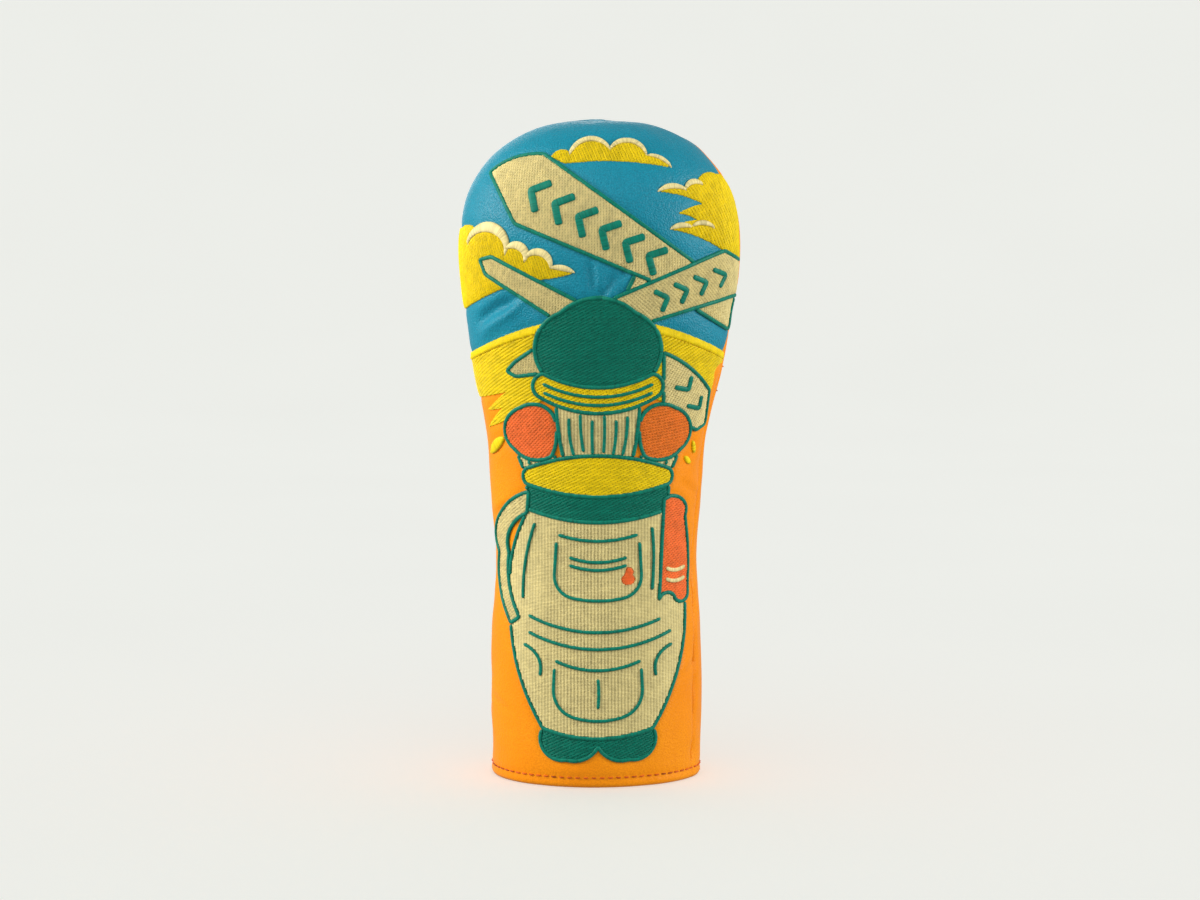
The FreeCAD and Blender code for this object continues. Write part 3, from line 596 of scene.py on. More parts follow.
front_field = seam_field < -SEAM_MARGIN
label_field = np.where(front_field, sheet.at(x_field, z_field), 0)


# ---------------------------------------- how the leather puffs, dips and creases

# The horizon's seam shows only this far out from the middle: nearer in, the embroidery covers it.
SEAM_SHOWS_FROM = 26
GATHER_COUNT = 33
GATHERS_FROM = 1.85
NECK_HEIGHT = 207

# Creases: place across and up, angle in degrees, length, width and depth.
FRONT_CREASES = [
    (-57, 243, 28, 26, -3.2, 2.6),
    (-46, 247, 36, 14, -2.0, 1.1),
    (5, 256, 54, 15, -2.2, 1.5),
    (-3, 260, 98, 15, -2.3, 1.3),
    (12, 260, 68, 13, -2.0, 1.0),
    (58, 60, 30, 26, 2.4, 0.4),
    (-56, 140, 20, 24, 2.2, 0.45),
    (56, 150, -25, 22, 2.2, 0.45),
    (-60, 40, -20, 24, 2.2, 0.35),
]
BACK_CREASES = [
    (128, 236, 62, 34, 2.6, 0.9),
    (-132, 240, -58, 36, 2.8, 1.0),
    (150, 248, 80, 30, 2.4, 0.7),
    (-158, 232, -82, 26, 2.2, 0.7),
    (122, 172, -48, 38, 3.2, 0.8),
    (-126, 166, 44, 40, 3.2, 0.9),
    (140, 110, -20, 44, 4.0, 0.6),
    (-146, 92, 26, 48, 4.2, 0.7),
    (118, 60, 34, 40, 3.4, 0.5),
    (-120, 48, -30, 36, 3.2, 0.5),
    (140, 300, 30, 40, 4.0, 0.5),
    (-136, 306, -34, 44, 4.0, 0.5),
]


def noise_field(scale, rows=1.0):
    """Smooth unevenness, about one in size; scale is its features' width in grid steps."""
    rough = rng.standard_normal((LEVELS + 1, TURNS + 1))
    soft = blurred(rough, scale * rows, scale)
    return soft / soft.std()


def crease(across, up, angle, length, width, depth):
    """A fold: a valley with a soft ridge above it, or below it where the width is negative."""
    u, v = along_field - across, np.broadcast_to(up_line[:, None], along_field.shape) - up
    c, s = math.cos(math.radians(angle)), math.sin(math.radians(angle))
    along, aside = u * c + v * s, -u * s + v * c
    fade = np.exp(-(along / (0.5 * length)) ** 4)
    ridge = 0.6 * np.exp(-((aside - 1.8 * width) / width) ** 2)
    return fade * depth * (ridge - np.exp(-(aside / width) ** 2))


def horizon_height():
    """How far each place on the front is above the crown seam."""
    (x0, z0), (xm, zm, x1, z1) = HORIZON_TOP
    half, rise = (x1 - x0) / 2, zm - z0
    radius = (half ** 2 + rise ** 2) / (2 * rise)
    arc_z = zm - radius + np.sqrt(np.maximum(radius ** 2 - (x_field - xm) ** 2, 0))
    return z_field - arc_z + SEAM_DROP


horizon_field = horizon_height()
sewn_field = blurred((label_field > 0).astype(float), 2.5, 2.5)


def hem_pucker():
    """The hem's stitch line pulls in, with a small puff between stitches."""
    wave = np.cos(2 * math.pi * along_field / STITCH_PITCH)
    line = np.exp(-((t_field - HEM_STITCH_HEIGHT) / 1.5) ** 2)
    puff = np.exp(-((t_field - 1.8) / 1.6) ** 2) + 0.7 * np.exp(-((t_field - 9.0) / 2.6) ** 2)
    return -0.34 * line * (1 + 0.35 * wave) + 0.05 * puff * (1 - 0.8 * wave)


def neck_gathers():
    """Folds across the back of the neck, where the elastic pulls the leather together."""
    back = np.clip((np.abs(theta_grid) - GATHERS_FROM) / 0.5, 0, 1)[None, :] ** 2
    high = np.exp(-(np.abs(t_field - NECK_HEIGHT) / 26) ** 2.4)
    drift = 1.6 * noise_field(60, 0.8)
    around = theta_grid[None, :] * GATHER_COUNT
    wave = np.cos(around + drift) + 0.5 * np.cos(around * 0.57 + 1.3 * drift + 2)
    rows = sum(np.exp(-((t_field - row) / 1.4) ** 2) for row in GATHER_ROWS)
    return back * (high * (0.8 * wave - 0.5) - 0.5 * rows)


def shaped():
    """How far the leather stands out from the plain body, in millimetres."""
    away = np.abs(seam_field)
    above_hem = np.clip(t_field / 14, 0.12, 1)
    lift = -above_hem * (1.35 * np.exp(-(away / 1.25) ** 2) + 0.55 * np.exp(-(away / 5.0) ** 2))
    in_front = 1 / (1 + np.exp(seam_field * 2))
    open_seam = in_front * np.clip((np.abs(x_field) - SEAM_SHOWS_FROM) / 4, 0, 1)
    ridge = 0.35 * np.exp(-((horizon_field + 1.6) / 1.6) ** 2) - 0.5 * np.exp(-(horizon_field / 0.9) ** 2)
    lift += open_seam * ridge
    uneven = above_hem * np.clip((TOP - t_field) / 30, 0, 1) ** 1.5
    lift += uneven * (0.28 * noise_field(26, 1.3) + 0.10 * noise_field(9))
    lift -= 0.42 * 4 * sewn_field * (1 - sewn_field) + 0.12 * sewn_field
    lift += hem_pucker() + neck_gathers()
    near_seam = np.exp(-(away / 7) ** 2) + 0.6 * in_front * np.exp(-(horizon_field / 5) ** 2)
    lift += 0.34 * uneven * np.minimum(near_seam, 1) * noise_field(7)
    for fold in FRONT_CREASES:
        lift += in_front * crease(*fold)
    for fold in BACK_CREASES:
        lift += (1 - in_front) * np.clip(seam_field / 12, 0, 1) * crease(*fold)
    return lift


def pinned():
    """How firmly each place is held while the cover is blown up: sewn lines hold, embroidery is stiff."""
    near = np.exp(-(np.abs(seam_field) / 1.6) ** 4)
    open_front = front_field & (np.abs(x_field) > SEAM_SHOWS_FROM)
    near = np.maximum(near, open_front * np.exp(-(np.abs(horizon_field) / 1.6) ** 4))
    near = np.maximum(near, np.exp(-(t_field / 6.5) ** 6))
    at_back = np.abs(theta_grid)[None, :] > 1.4
    for row in GATHER_ROWS:
        near = np.maximum(near, at_back * np.exp(-((t_field - row) / 1.6) ** 4))
    return np.clip(np.maximum(near, 0.35 * (blurred(sewn_field, 1, 1) > 0.5)), 0, 1)


CLOTH_STEP, CLOTH_FRAMES, CLOTH_PRESSURE, CLOTH_REACH = 4, 20, 4.0, 3.0


def trial_mesh(points):
    """The padded cover as a coarse closed mesh; points is a grid of its places."""
    count, wide = points.shape[:2]
    faces = []
    for j in range(count - 1):
        for k in range(wide):
            n = (k + 1) % wide
            faces.append([j * wide + k, j * wide + n, (j + 1) * wide + n, (j + 1) * wide + k])
    faces.append([k for k in reversed(range(wide))])
    faces.append([(count - 1) * wide + k for k in range(wide)])
    mesh = bpy.data.meshes.new("cloth_trial")
    mesh.from_pydata(points.reshape(-1, 3) * MM, [], faces)
    return mesh


def set_cloth(cloth):
    """Thin leather with pressure behind it and no weight."""
    settings = cloth.settings
    settings.quality, settings.mass, settings.time_scale = 6, 0.3, 1.0
    settings.tension_stiffness = settings.compression_stiffness = 14.0
    settings.shear_stiffness, settings.bending_stiffness = 6.0, 0.6
    settings.vertex_group_mass, settings.pin_stiffness = "held", 1.0
    settings.use_pressure, settings.uniform_pressure_force = True, CLOTH_PRESSURE
    settings.effector_weights.gravity = 0.0
    cloth.point_cache.frame_start, cloth.point_cache.frame_end = 1, CLOTH_FRAMES


def blown_up():
    """Cloth simulation of the padded cover under pressure: how far each place moves out, in millimetres."""
    rows, columns = np.arange(0, LEVELS - 3, CLOTH_STEP), np.arange(0, TURNS, CLOTH_STEP)
    coarse = np.ix_(rows, columns)
    points, hold = body[coarse], pinned()[coarse]
    trial = bpy.data.objects.new("cloth_trial", trial_mesh(points))
    bpy.context.scene.collection.objects.link(trial)
    group = trial.vertex_groups.new(name="held")
    for i, weight in enumerate(hold.ravel()):
        group.add([i], float(weight), "REPLACE")
    set_cloth(trial.modifiers.new("cloth", "CLOTH"))
    for frame_number in range(1, CLOTH_FRAMES + 1):
        bpy.context.scene.frame_set(frame_number)
    moved = trial.evaluated_get(bpy.context.evaluated_depsgraph_get()).data
    found = np.empty(len(moved.vertices) * 3, np.float32)
    moved.vertices.foreach_get("co", found)
    bpy.context.scene.frame_set(1)
    bpy.data.objects.remove(trial)
    away = ((found.reshape(points.shape) / MM - points) * normals[coarse]).sum(-1)
    return refined(np.clip(away, -CLOTH_REACH, CLOTH_REACH), t_grid[rows], CLOTH_STEP, 1.5)


puff = blown_up()
skin = body + normals * (shaped() + puff)[..., None]
skin_normals = outward(skin)


def at(theta, t, lift=0.0):
    """Points on the shaped leather, or above it by lift."""
    n = sample(skin_normals, theta, t)
    n /= np.linalg.norm(n, axis=-1, keepdims=True)
    return sample(skin, theta, t) + n * np.asarray(lift, float)[..., None], n


# ---------------------------------------- meshes

# Cells are cut in a flat chart of theta and t over this radius, which makes them about square.
CHART_RADIUS = 58


def made_mesh(name, node, slot_name, points, faces, material, tone_and_shade=None):
    """A piece in a CAD node's place, from points in millimetres."""
    mesh = bpy.data.meshes.new(name)
    mesh.from_pydata(np.asarray(points) * MM, [], faces)
    if tone_and_shade is not None:
        mesh.attributes.new("tone_and_shade", "FLOAT", "POINT").data.foreach_set("value", np.asarray(tone_and_shade, np.float32))
    mesh.polygons.foreach_set("use_smooth", np.full(len(mesh.polygons), True))
    mesh.materials.append(material)
    mesh.update()
    piece = bpy.data.objects.new(name, mesh)
    bpy.context.scene.collection.objects.link(piece)
    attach(piece, "root")
    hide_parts(node)
    return piece


def cells(theta0, theta1, t0, t1, step, cuts=()):
    """A grid of places, cut along the zero lines of fields: (field, 1) keeps where it is negative."""
    columns = max(8, round((theta1 - theta0) * CHART_RADIUS / step))
    rows = max(1, round((t1 - t0) / step))
    thetas = [theta0 + (theta1 - theta0) * k / columns for k in range(columns + 1)]
    levels = [t0 + (t1 - t0) * j / rows for j in range(rows + 1)]
    bm = bmesh.new()
    grid = [[bm.verts.new((theta, t / CHART_RADIUS, 0)) for theta in thetas] for t in levels]
    for j in range(rows):
        for k in range(columns):
            bm.faces.new((grid[j][k], grid[j][k + 1], grid[j + 1][k + 1], grid[j + 1][k]))
    for field, side in cuts:
        places = np.array([v.co[:2] for v in bm.verts])
        for v, value in zip(bm.verts, sample(field, places[:, 0], places[:, 1] * CHART_RADIUS)):
            v.co.z = value
        bmesh.ops.bisect_plane(
            bm, geom=bm.verts[:] + bm.edges[:] + bm.faces[:], dist=1e-6,
            plane_co=(0, 0, 0), plane_no=(0, 0, side), clear_outer=True,
        )
    bm.verts.index_update()
    places = np.array([v.co[:2] for v in bm.verts])
    faces = [[v.index for v in f.verts] for f in bm.faces]
    bm.free()
    return places[:, 0], places[:, 1] * CHART_RADIUS, faces


def slab(theta, t, faces, top, bottom):
    """A closed solid between two offsets of the leather over the given cells: points and faces."""
    _, first, same = np.unique(np.round(at(theta, t)[0], 4), axis=0, return_index=True, return_inverse=True)
    same = same.ravel()
    theta, t = theta[first], t[first]
    outer, inner = (at(theta, t, np.broadcast_to(lift, same.shape)[first])[0] for lift in (top, bottom))
    welded = []
    for face in faces:
        ring = [int(same[i]) for i in face]
        ring = [a for a, b in zip(ring, ring[1:] + ring[:1]) if a != b]
        if len(set(ring)) > 2:
            welded.append(ring)
    count = len(theta)
    sides = {}
    for ring in welded:
        for a, b in zip(ring, ring[1:] + ring[:1]):
            if (b, a) in sides:
                del sides[(b, a)]
            else:
                sides[(a, b)] = True
    closed = welded + [[i + count for i in reversed(ring)] for ring in welded]
    closed += [[b, a, a + count, b + count] for a, b in sides]
    return np.concatenate([outer, inner]), closed


def joined(*solids):
    """Several solids as one, still points and faces."""
    points, faces, first = [], [], 0
    for p, f in solids:
        points.append(p)
        faces += [[i + first for i in ring] for ring in f]
        first += len(p)
    return np.concatenate(points), faces


# Cross-sections of a strand: (across, in half widths; height, from the strand's underside to its top).
ROW_SECTION = [(1, 0.0), (0.62, 0.78), (0, 1.0), (-0.62, 0.78), (-1, 0.0)]
SATIN_SECTION = [(1, 0.0), (0.98, 0.68), (0.68, 0.93), (0, 1.0), (-0.68, 0.93), (-0.98, 0.68), (-1, 0.0)]
EIGHTHS = np.linspace(0, 2 * math.pi, 8, endpoint=False)
THREAD_SECTION = [(math.cos(a), 0.5 + 0.5 * math.sin(a)) for a in EIGHTHS]


class Strands:
    """Many lengths of thread that become one piece."""

    def __init__(self, section):
        self.section = np.array(section, float)
        self.parts, self.count = [], 0

    def add(self, theta, t, half, low, high, tone_and_shade):
        """One strand along a row of places; half is its half width, low and high its underside and top."""
        values = theta, t, half, low, high, tone_and_shade, self.count
        if len(theta) > 1:
            self.parts.append([np.broadcast_to(np.asarray(v, float), (len(theta),)) for v in values])
            self.count += 1

    def solid(self):
        """Points and faces of all the strands, and the lightness of each point: random, with painted shade
        and highlights where the strands carry them.
        """
        theta, t, half, low, high, tone_and_shade, strand = (np.concatenate(v) for v in zip(*self.parts))
        points, up = at(theta, t)
        strand = strand.astype(int)
        same_next = np.append(strand[1:] == strand[:-1], False)
        same_last = np.append(False, strand[1:] == strand[:-1])
        ahead = np.where(same_next[:, None], np.roll(points, -1, axis=0), points)
        behind = np.where(same_last[:, None], np.roll(points, 1, axis=0), points)
        way = ahead - behind
        way /= np.maximum(np.linalg.norm(way, axis=1, keepdims=True), 1e-9)
        aside = np.cross(way, up)
        aside /= np.maximum(np.linalg.norm(aside, axis=1, keepdims=True), 1e-9)
        across, height = self.section[:, 0], self.section[:, 1]
        lift = low[:, None] + (high - low)[:, None] * height
        ring = points[:, None] + aside[:, None] * (half[:, None] * across)[..., None]
        ring = ring + up[:, None] * lift[..., None]
        m = len(across)
        first = np.flatnonzero(same_next) * m
        k = np.arange(m)
        k_next = (k + 1) % m
        corners = [first[:, None] + corner for corner in (k, k_next, m + k_next, m + k)]
        quads = np.stack(corners, -1).reshape(-1, 4)
        starts, ends = np.flatnonzero(~same_last) * m, np.flatnonzero(~same_next) * m
        caps = [(s + k[::-1]).tolist() for s in starts] + [(e + k).tolist() for e in ends]
        return ring.reshape(-1, 3), quads.tolist() + caps, np.repeat(tone_and_shade, m)


# ---------------------------------------- rows of embroidery

SATIN_SPREAD = 0.35
COVERED_SHARE = 0.6
IN_FRONT = -150
SATIN_MARGIN = 0.9
SICKLE_MARKS, SICKLE_SPREAD = 60, 0.25
LINE_ROOT, LINE_RISE = 0.3, 0.15
sewn = {}


def strands_for(node, section):
    """The strands of a CAD node, begun where there are none yet."""
    return sewn.setdefault(node, Strands(section))


def runs_of(mask, spacing, shortest):
    """Start and end of each stretch of True, unless it is shorter than shortest."""
    edge = np.flatnonzero(np.diff(np.concatenate([[False], mask, [False]]).astype(int)))
    runs = [(a, b - 1) for a, b in zip(edge[::2], edge[1::2])]
    return [(a * spacing, b * spacing) for a, b in runs if (b - a) * spacing >= shortest]


def on_map(flat, theta, t):
    """What a map of the artwork says at places on the cover."""
    return flat.at(sample(x_field, theta, t), sample(z_field, theta, t))


class Rows:
    """Level lines over all that a value owns on the map, turned by an angle."""

    margin, spacing, shortest = 1.2, 0.2, 0.5

    def __init__(self, own, angle, pitch):
        self.c, self.s = math.cos(math.radians(angle)), math.sin(math.radians(angle))
        j, k = np.nonzero((fill_sheet.at(x_field, z_field) == own) & front_field)
        across, up = along_field[j, k], up_line[j]
        along, aside = across * self.c + up * self.s, -across * self.s + up * self.c
        self.places = np.arange(aside.min() - self.margin + pitch / 2, aside.max() + self.margin, pitch)
        line = np.arange(along.min() - self.margin, along.max() + self.margin, self.spacing)
        theta, t = self.on_cover(*np.meshgrid(line, self.places))
        self.owned = (on_map(fill_sheet, theta, t) == own) & (sample(seam_field, theta, t) < -SEAM_MARGIN)
        self.start = line[0]

    def on_cover(self, along, row):
        """theta and t of places along a row."""
        return from_chart(along * self.c - row * self.s, along * self.s + row * self.c)

    def runs(self, r):
        """Where row r starts and ends, a little unevenly, each time that it crosses what the value owns."""
        for start, end in runs_of(self.owned[r], self.spacing, self.shortest):
            first = start + (self.start + rng.uniform(-0.22, 0.05))
            yield first, end + (self.start + rng.uniform(-0.05, 0.22))


def fill_patch(strands, own, grain_of, satin, high):
    """Covers what a value owns on the map with rows of thread, which run on, lower, under satin edges."""
    angle, pitch, stitch, shift = grain_of
    cover, evenness = (0.78, 0.1) if shift == 0 else (0.66, 0.25)
    rows = Rows(own, angle, pitch)
    for r, row in enumerate(rows.places):
        for start, end in rows.runs(r):
            if satin:
                place, height, shade = satin_places(start, end)
            else:
                place, height, shade = tatami_places(start, end, stitch, shift, r)
            theta, t = rows.on_cover(place, row)
            beside = rows.on_cover(place, row + 1)
            spread = np.linalg.norm(sample(body, *beside) - sample(body, theta, t), axis=-1)
            covered = on_map(sheet, theta, t) != own
            peak = THREAD_ROOT + (high - THREAD_ROOT) * height * np.where(covered, COVERED_SHARE, 1.0)
            # Painted shade and highlights of the stitches, with a random lightness added for each row and
            # each point.
            shade = shade + rng.normal(0, evenness) + rng.normal(0, evenness, len(shade))
            strands.add(theta, t, pitch * cover * np.clip(spread, 1, 1.8), THREAD_ROOT, peak, shade)


def tatami_places(start, end, stitch, shift, r):
    """Places along row r, with heights and shades: where the thread dips between stitches its colour is
    darkened as painted shade, and the middle of each stitch is lightened as a painted highlight.
    """
    if shift is None:
        first = (r * 0.382 + rng.uniform(-0.09, 0.09)) * stitch
    else:
        first = r * shift + rng.uniform(-0.05, 0.05) * stitch
    first = start - (start - first) % stitch
    downs = np.arange(first - stitch, end + stitch, stitch)
    dip = np.clip(rng.normal(0.55, 0.08, len(downs)), 0.3, 0.75)
    # Each entry: a share of the stitch, a height, and painted shade (below zero) or a painted highlight
    # (above zero).
    shades = [(0.0, dip, -1.7), (0.5, 1.0, 0.2)]
    if stitch > 2.4:
        shades = [(-0.11, 0.95, -0.4), (0.0, dip, -2.6), (0.11, 0.95, -0.4), (0.5, 1.0, 0.35)]
    place = np.concatenate([downs + share * stitch for share, _, _ in shades])
    height = np.concatenate([np.broadcast_to(v, len(downs)) for _, v, _ in shades])
    shade = np.concatenate([np.full(len(downs), v) for _, _, v in shades])
    inside = (place > start + 0.25) & (place < end - 0.25)
    # Where a row starts and ends the thread dives in, and its colour there is darkened as painted shade.
    place = np.concatenate([[start, start + 0.2], place[inside], [end - 0.2, end]])
    height = np.concatenate([[0.35, 0.85], height[inside], [0.85, 0.35]])
    shade = np.concatenate([[-0.5, 0], shade[inside], [0, -0.5]])
    order = np.argsort(place)
    return place[order], height[order], shade[order]


def satin_places(start, end):
    """The same for one stitch from edge to edge, rounded over: its colour is darkened at both edges as
    painted shade and lightened over its top as a painted highlight.
    """
    share = np.array([0, 0.06, 0.2, 0.5, 0.8, 0.94, 1])
    height = np.array([0.1, 0.6, 0.9, 1.0, 0.9, 0.6, 0.1])
    return start + share * (end - start), height, np.array([-1.2, -0.4, 0.1, 0.4, 0.1, -0.4, -1.2])


def places_on_front(path):
    """theta and t of a path's points swept onto the front, and which of them land there."""
    found = np.zeros((len(path), 2))
    landed = np.zeros(len(path), bool)
    for i, (x, z) in enumerate(path):
        hit = leather.ray_cast(Vector((x, IN_FRONT, z)), Vector((0, 1, 0)))
        if hit[0] is not None:
            found[i] = place_of(*hit[0])
            landed[i] = sample(seam_field, *found[i]) < -SATIN_MARGIN
    return found[:, 0], found[:, 1], landed


def rounded(path, closed, width=2.0):
    """The path with its corners eased, as a needle makes them."""
    reach = min(int(3 * width), len(path) - 1)
    if closed:
        return sum(w * np.roll(path, k, axis=0) for w, k in bell(width, reach))
    first = 2 * path[:1] - path[reach:0:-1]
    last = 2 * path[-1:] - path[-2:-reach - 2:-1]
    return slid(np.concatenate([first, path, last]), width, reach)


def satin_line(strands, path, width, low, high, closed, shown_on):
    """A satin line along a path, where the map's top patch is one of shown_on."""
    theta, t, landed = places_on_front(path)
    width = np.broadcast_to(width, len(path))
    shown = landed & np.isin(sheet.at(path[:, 0], path[:, 1]), shown_on)
    whole = closed and shown.all()
    if whole:
        theta, t, shown = np.append(theta, theta[:2]), np.append(t, t[:2]), np.append(shown, shown[:2])
        width = np.append(width, width[:2])
    elif closed:
        turn = -int(np.argmin(shown))
        theta, t, shown = np.roll(theta, turn), np.roll(t, turn), np.roll(shown, turn)
    for start, end in runs_of(shown, 1, 2):
        i = np.arange(start, end + 1)
        thread = i % 2
        taper = np.ones(len(i)) if whole else np.clip(np.minimum(i - start, end - i) / 2.0, 0, 1)
        half = (width[i] + SATIN_SPREAD) / 2 * (1 - 0.06 * thread) * (0.55 + 0.45 * taper)
        body_share = (1 - 0.12 * thread) * (0.7 + 0.3 * taper) * np.clip(width[i] / 1.2, 0.45, 1)
        # Every other thread lies a little lower, and its colour is darkened as painted shade; each point's
        # lightness also varies at random.
        tone_and_shade = rng.normal(0.2, 0.9, len(i)) - 0.8 * thread
        strands.add(theta[i], t[i], half, low, low + (high - low) * body_share, tone_and_shade)


def satin_sickle(strands, sickle, high, shown_on):
    """A sickle of satin, whose stitches run across it."""
    start, outer, end, inner = sickle
    marks = np.linspace(0, 1, SICKLE_MARKS)
    sides = []
    for middle in (outer, inner):
        side = drawn([start, middle + end])
        place = np.concatenate([[0], np.cumsum(np.linalg.norm(np.diff(side, axis=0), axis=1))])
        sides.append(np.stack([np.interp(marks * place[-1], place, side[:, k]) for k in (0, 1)], 1))
    middle = (sides[0] + sides[1]) / 2
    length = np.linalg.norm(np.diff(middle, axis=0), axis=1).sum()
    width = np.linalg.norm(sides[0] - sides[1], axis=1)
    dense = np.linspace(0, 1, max(12, int(length / DRAWN_STEP)))
    path = np.stack([np.interp(dense, marks, middle[:, k]) for k in (0, 1)], 1)
    width = np.interp(dense, marks, width) + SICKLE_SPREAD
    satin_line(strands, path, width, THREAD_ROOT, high, False, shown_on)


def sew_patch(index, patch):
    """One patch: its fill, its satin edge and the satin lines on it."""
    own = [index + 1, EDGE + index]
    section, high = (SATIN_SECTION, SATIN_TOP - 0.1) if patch.satin else (ROW_SECTION, FILL_TOP)
    if patch.sickle:
        satin_sickle(strands_for(patch.node, SATIN_SECTION), patch.sickle, SATIN_TOP, own)
    else:
        fill_patch(strands_for(patch.node, section), index + 1, patch.grain, patch.satin, high)
    if patch.edge:
        edge, path = strands_for(patch.edge, SATIN_SECTION), rounded(patch.outline[:-1], True)
        satin_line(edge, path, EDGE_WIDTH, THREAD_ROOT, SATIN_TOP, True, own[1:])
    for node, width, points in patch.lines:
        path = rounded(drawn(points), False, 2.0 if node == "board_arrows" else 4.0)
        line = strands_for(node, SATIN_SECTION)
        satin_line(line, path, width, LINE_ROOT, SATIN_TOP + LINE_RISE, False, own)


def sew_everything():
    """All the embroidery, gathered by CAD node."""
    crests = [CREST + i for i in range(crest_count)]
    for index, patch in enumerate(patches):
        sew_patch(index, patch)
        shown_on = [0, index + 1] + crests
        for sickle in patch.crests:
            satin_sickle(strands_for("cloud_crests", SATIN_SECTION), sickle, SATIN_TOP + 0.1, shown_on)
    fill_patch(strands_for("zip_pull", ROW_SECTION), PULL, grain(0, 0.45), True, SATIN_TOP + 0.1)


# ---------------------------------------- materials


def linear(rgb, share=1.0):
    """Screen colour, 0 to 255, to what the shader takes, darkened to a share of it."""
    level = np.array(rgb, float) / 255
    level = np.where(level < 0.04045, level / 12.92, ((level + 0.055) / 1.055) ** 2.4)
    return tuple(np.minimum(level * share, 1.0)) + (1.0,)


class Shader:
    """A material being made, with short ways to add nodes; its textures lie in object space."""

    def __init__(self, name):
        self.material = bpy.data.materials.new(name)
        self.material.use_nodes = True
        self.nodes, self.link = self.material.node_tree.nodes, self.material.node_tree.links.new
        self.principled = next(n for n in self.nodes if n.type == "BSDF_PRINCIPLED")
        self.place = self.add("ShaderNodeTexCoord").outputs["Object"]

    def add(self, kind, **values):
        """A new node; each value goes to the input of that name or else to the setting."""
        made = self.nodes.new(kind)
        for key, value in values.items():
            target = made.inputs.get(key.replace("_", " "))
            if target is not None:
                target.default_value = value
            else:
                setattr(made, key, value)
        return made

    def texture(self, kind, **values):
        made = self.add(kind, **values)
        self.link(self.place, made.inputs["Vector"])
        return made

    def noise(self, scale, detail, **values):
        return self.texture("ShaderNodeTexNoise", Scale=scale, Detail=detail, **values).outputs["Fac"]

    def ramped(self, socket, low, high, to_low=0.0, to_high=1.0):
        """A socket's value stretched from low..high to to_low..to_high."""
        stretch = self.add("ShaderNodeMapRange", From_Min=low, From_Max=high, To_Min=to_low, To_Max=to_high)
        self.link(socket, stretch.inputs["Value"])
        return stretch.outputs["Result"]

    def mixed(self, factor, a, b):
        """A colour between a and b by a factor socket."""
        mix = self.add("ShaderNodeMix", data_type="RGBA")
        self.link(factor, mix.inputs["Factor"])
        for socket, value in ((mix.inputs[6], a), (mix.inputs[7], b)):
            if isinstance(value, tuple):
                socket.default_value = value
            else:
                self.link(value, socket)
        return mix.outputs[2]

    def bumped(self, height, strength, distance, under=None, invert=False):
        """A bump by a height socket, over another bump where there is one under it."""
        bump = self.add("ShaderNodeBump", Strength=strength, Distance=distance, invert=invert)
        self.link(height, bump.inputs["Height"])
        if under is not None:
            self.link(under, bump.inputs["Normal"])
        return bump.outputs["Normal"]

    def finished(self, **values):
        """The material, with each value or socket put into the Principled input of that name."""
        for key, value in values.items():
            target = self.principled.inputs[key.replace("_", " ")]
            if isinstance(value, bpy.types.NodeSocket):
                self.link(value, target)
            else:
                target.default_value = value
        return self.material


def leather_material(name, dark, light, grain_size, bump, gloss=0.22, pits=0.8):
    """Coated leather: pebble grain, patches of lighter and darker colour, a soft gloss."""
    made = Shader(name)
    clouds, pores = made.noise(28.0, 3.0), made.noise(1.6 / grain_size, 2.0)
    pebbles = made.texture("ShaderNodeTexVoronoi", Scale=1 / grain_size, feature="SMOOTH_F1", Smoothness=0.6)
    base = made.mixed(made.ramped(clouds, 0.3, 0.7), linear(dark), linear(light))
    coarse = made.bumped(pebbles.outputs["Distance"], bump, 0.00032, invert=True)
    return made.finished(
        Base_Color=made.mixed(made.ramped(pores, 0.62, 0.4), linear(dark, pits), base),
        Roughness=made.ramped(clouds, 0.3, 0.7, 0.36, 0.5),
        Specular_IOR_Level=gloss,
        Normal=made.bumped(pores, bump * 0.6, 0.00012, under=coarse),
    )


def thread_material(name, rgb, spread=0.10, gloss=0.42):
    """Rayon thread: each length a little lighter or darker at random, and darker or lighter still where its
    strands carry painted shade and highlights, with a silky sheen.
    """
    made = Shader(name)
    tone_and_shade = made.add("ShaderNodeAttribute", attribute_name="tone_and_shade")
    # The attribute holds random lightness together with the painted shade and highlights of the stitches.
    total = made.add("ShaderNodeMath", operation="ADD")
    made.link(made.ramped(tone_and_shade.outputs["Fac"], -4.0, 4.0), total.inputs[0])
    made.link(made.ramped(made.noise(240.0, 2.0), -0.5, 2.0), total.inputs[1])
    share = made.ramped(total.outputs["Value"], 0.5, 1.0)
    return made.finished(
        Base_Color=made.mixed(share, linear(rgb, 1 - 5.0 * spread), linear(rgb, 1 + 0.9 * spread)),
        Roughness=gloss,
        Sheen_Weight=0.06,
        Sheen_Roughness=0.4,
        Specular_IOR_Level=0.14,
        Normal=made.bumped(made.noise(2600.0, 1.0), 0.25, 0.0001),
    )


def pile_material(name, rgb, scale):
    """Fleece, foam or felt: matt, speckled with painted shade where its bump is low, between the tufts, with
    a soft rim of light.
    """
    made = Shader(name)
    tufts = made.noise(scale, 4.0, Roughness=0.7)
    return made.finished(
        # Painted shade: the noise that bumps the surface also darkens its low spots.
        Base_Color=made.mixed(made.ramped(tufts, 0.35, 0.65), linear(rgb, 0.66), linear(rgb)),
        Roughness=0.95,
        Sheen_Weight=0.5,
        Normal=made.bumped(tufts, 0.7, 0.0006),
    )


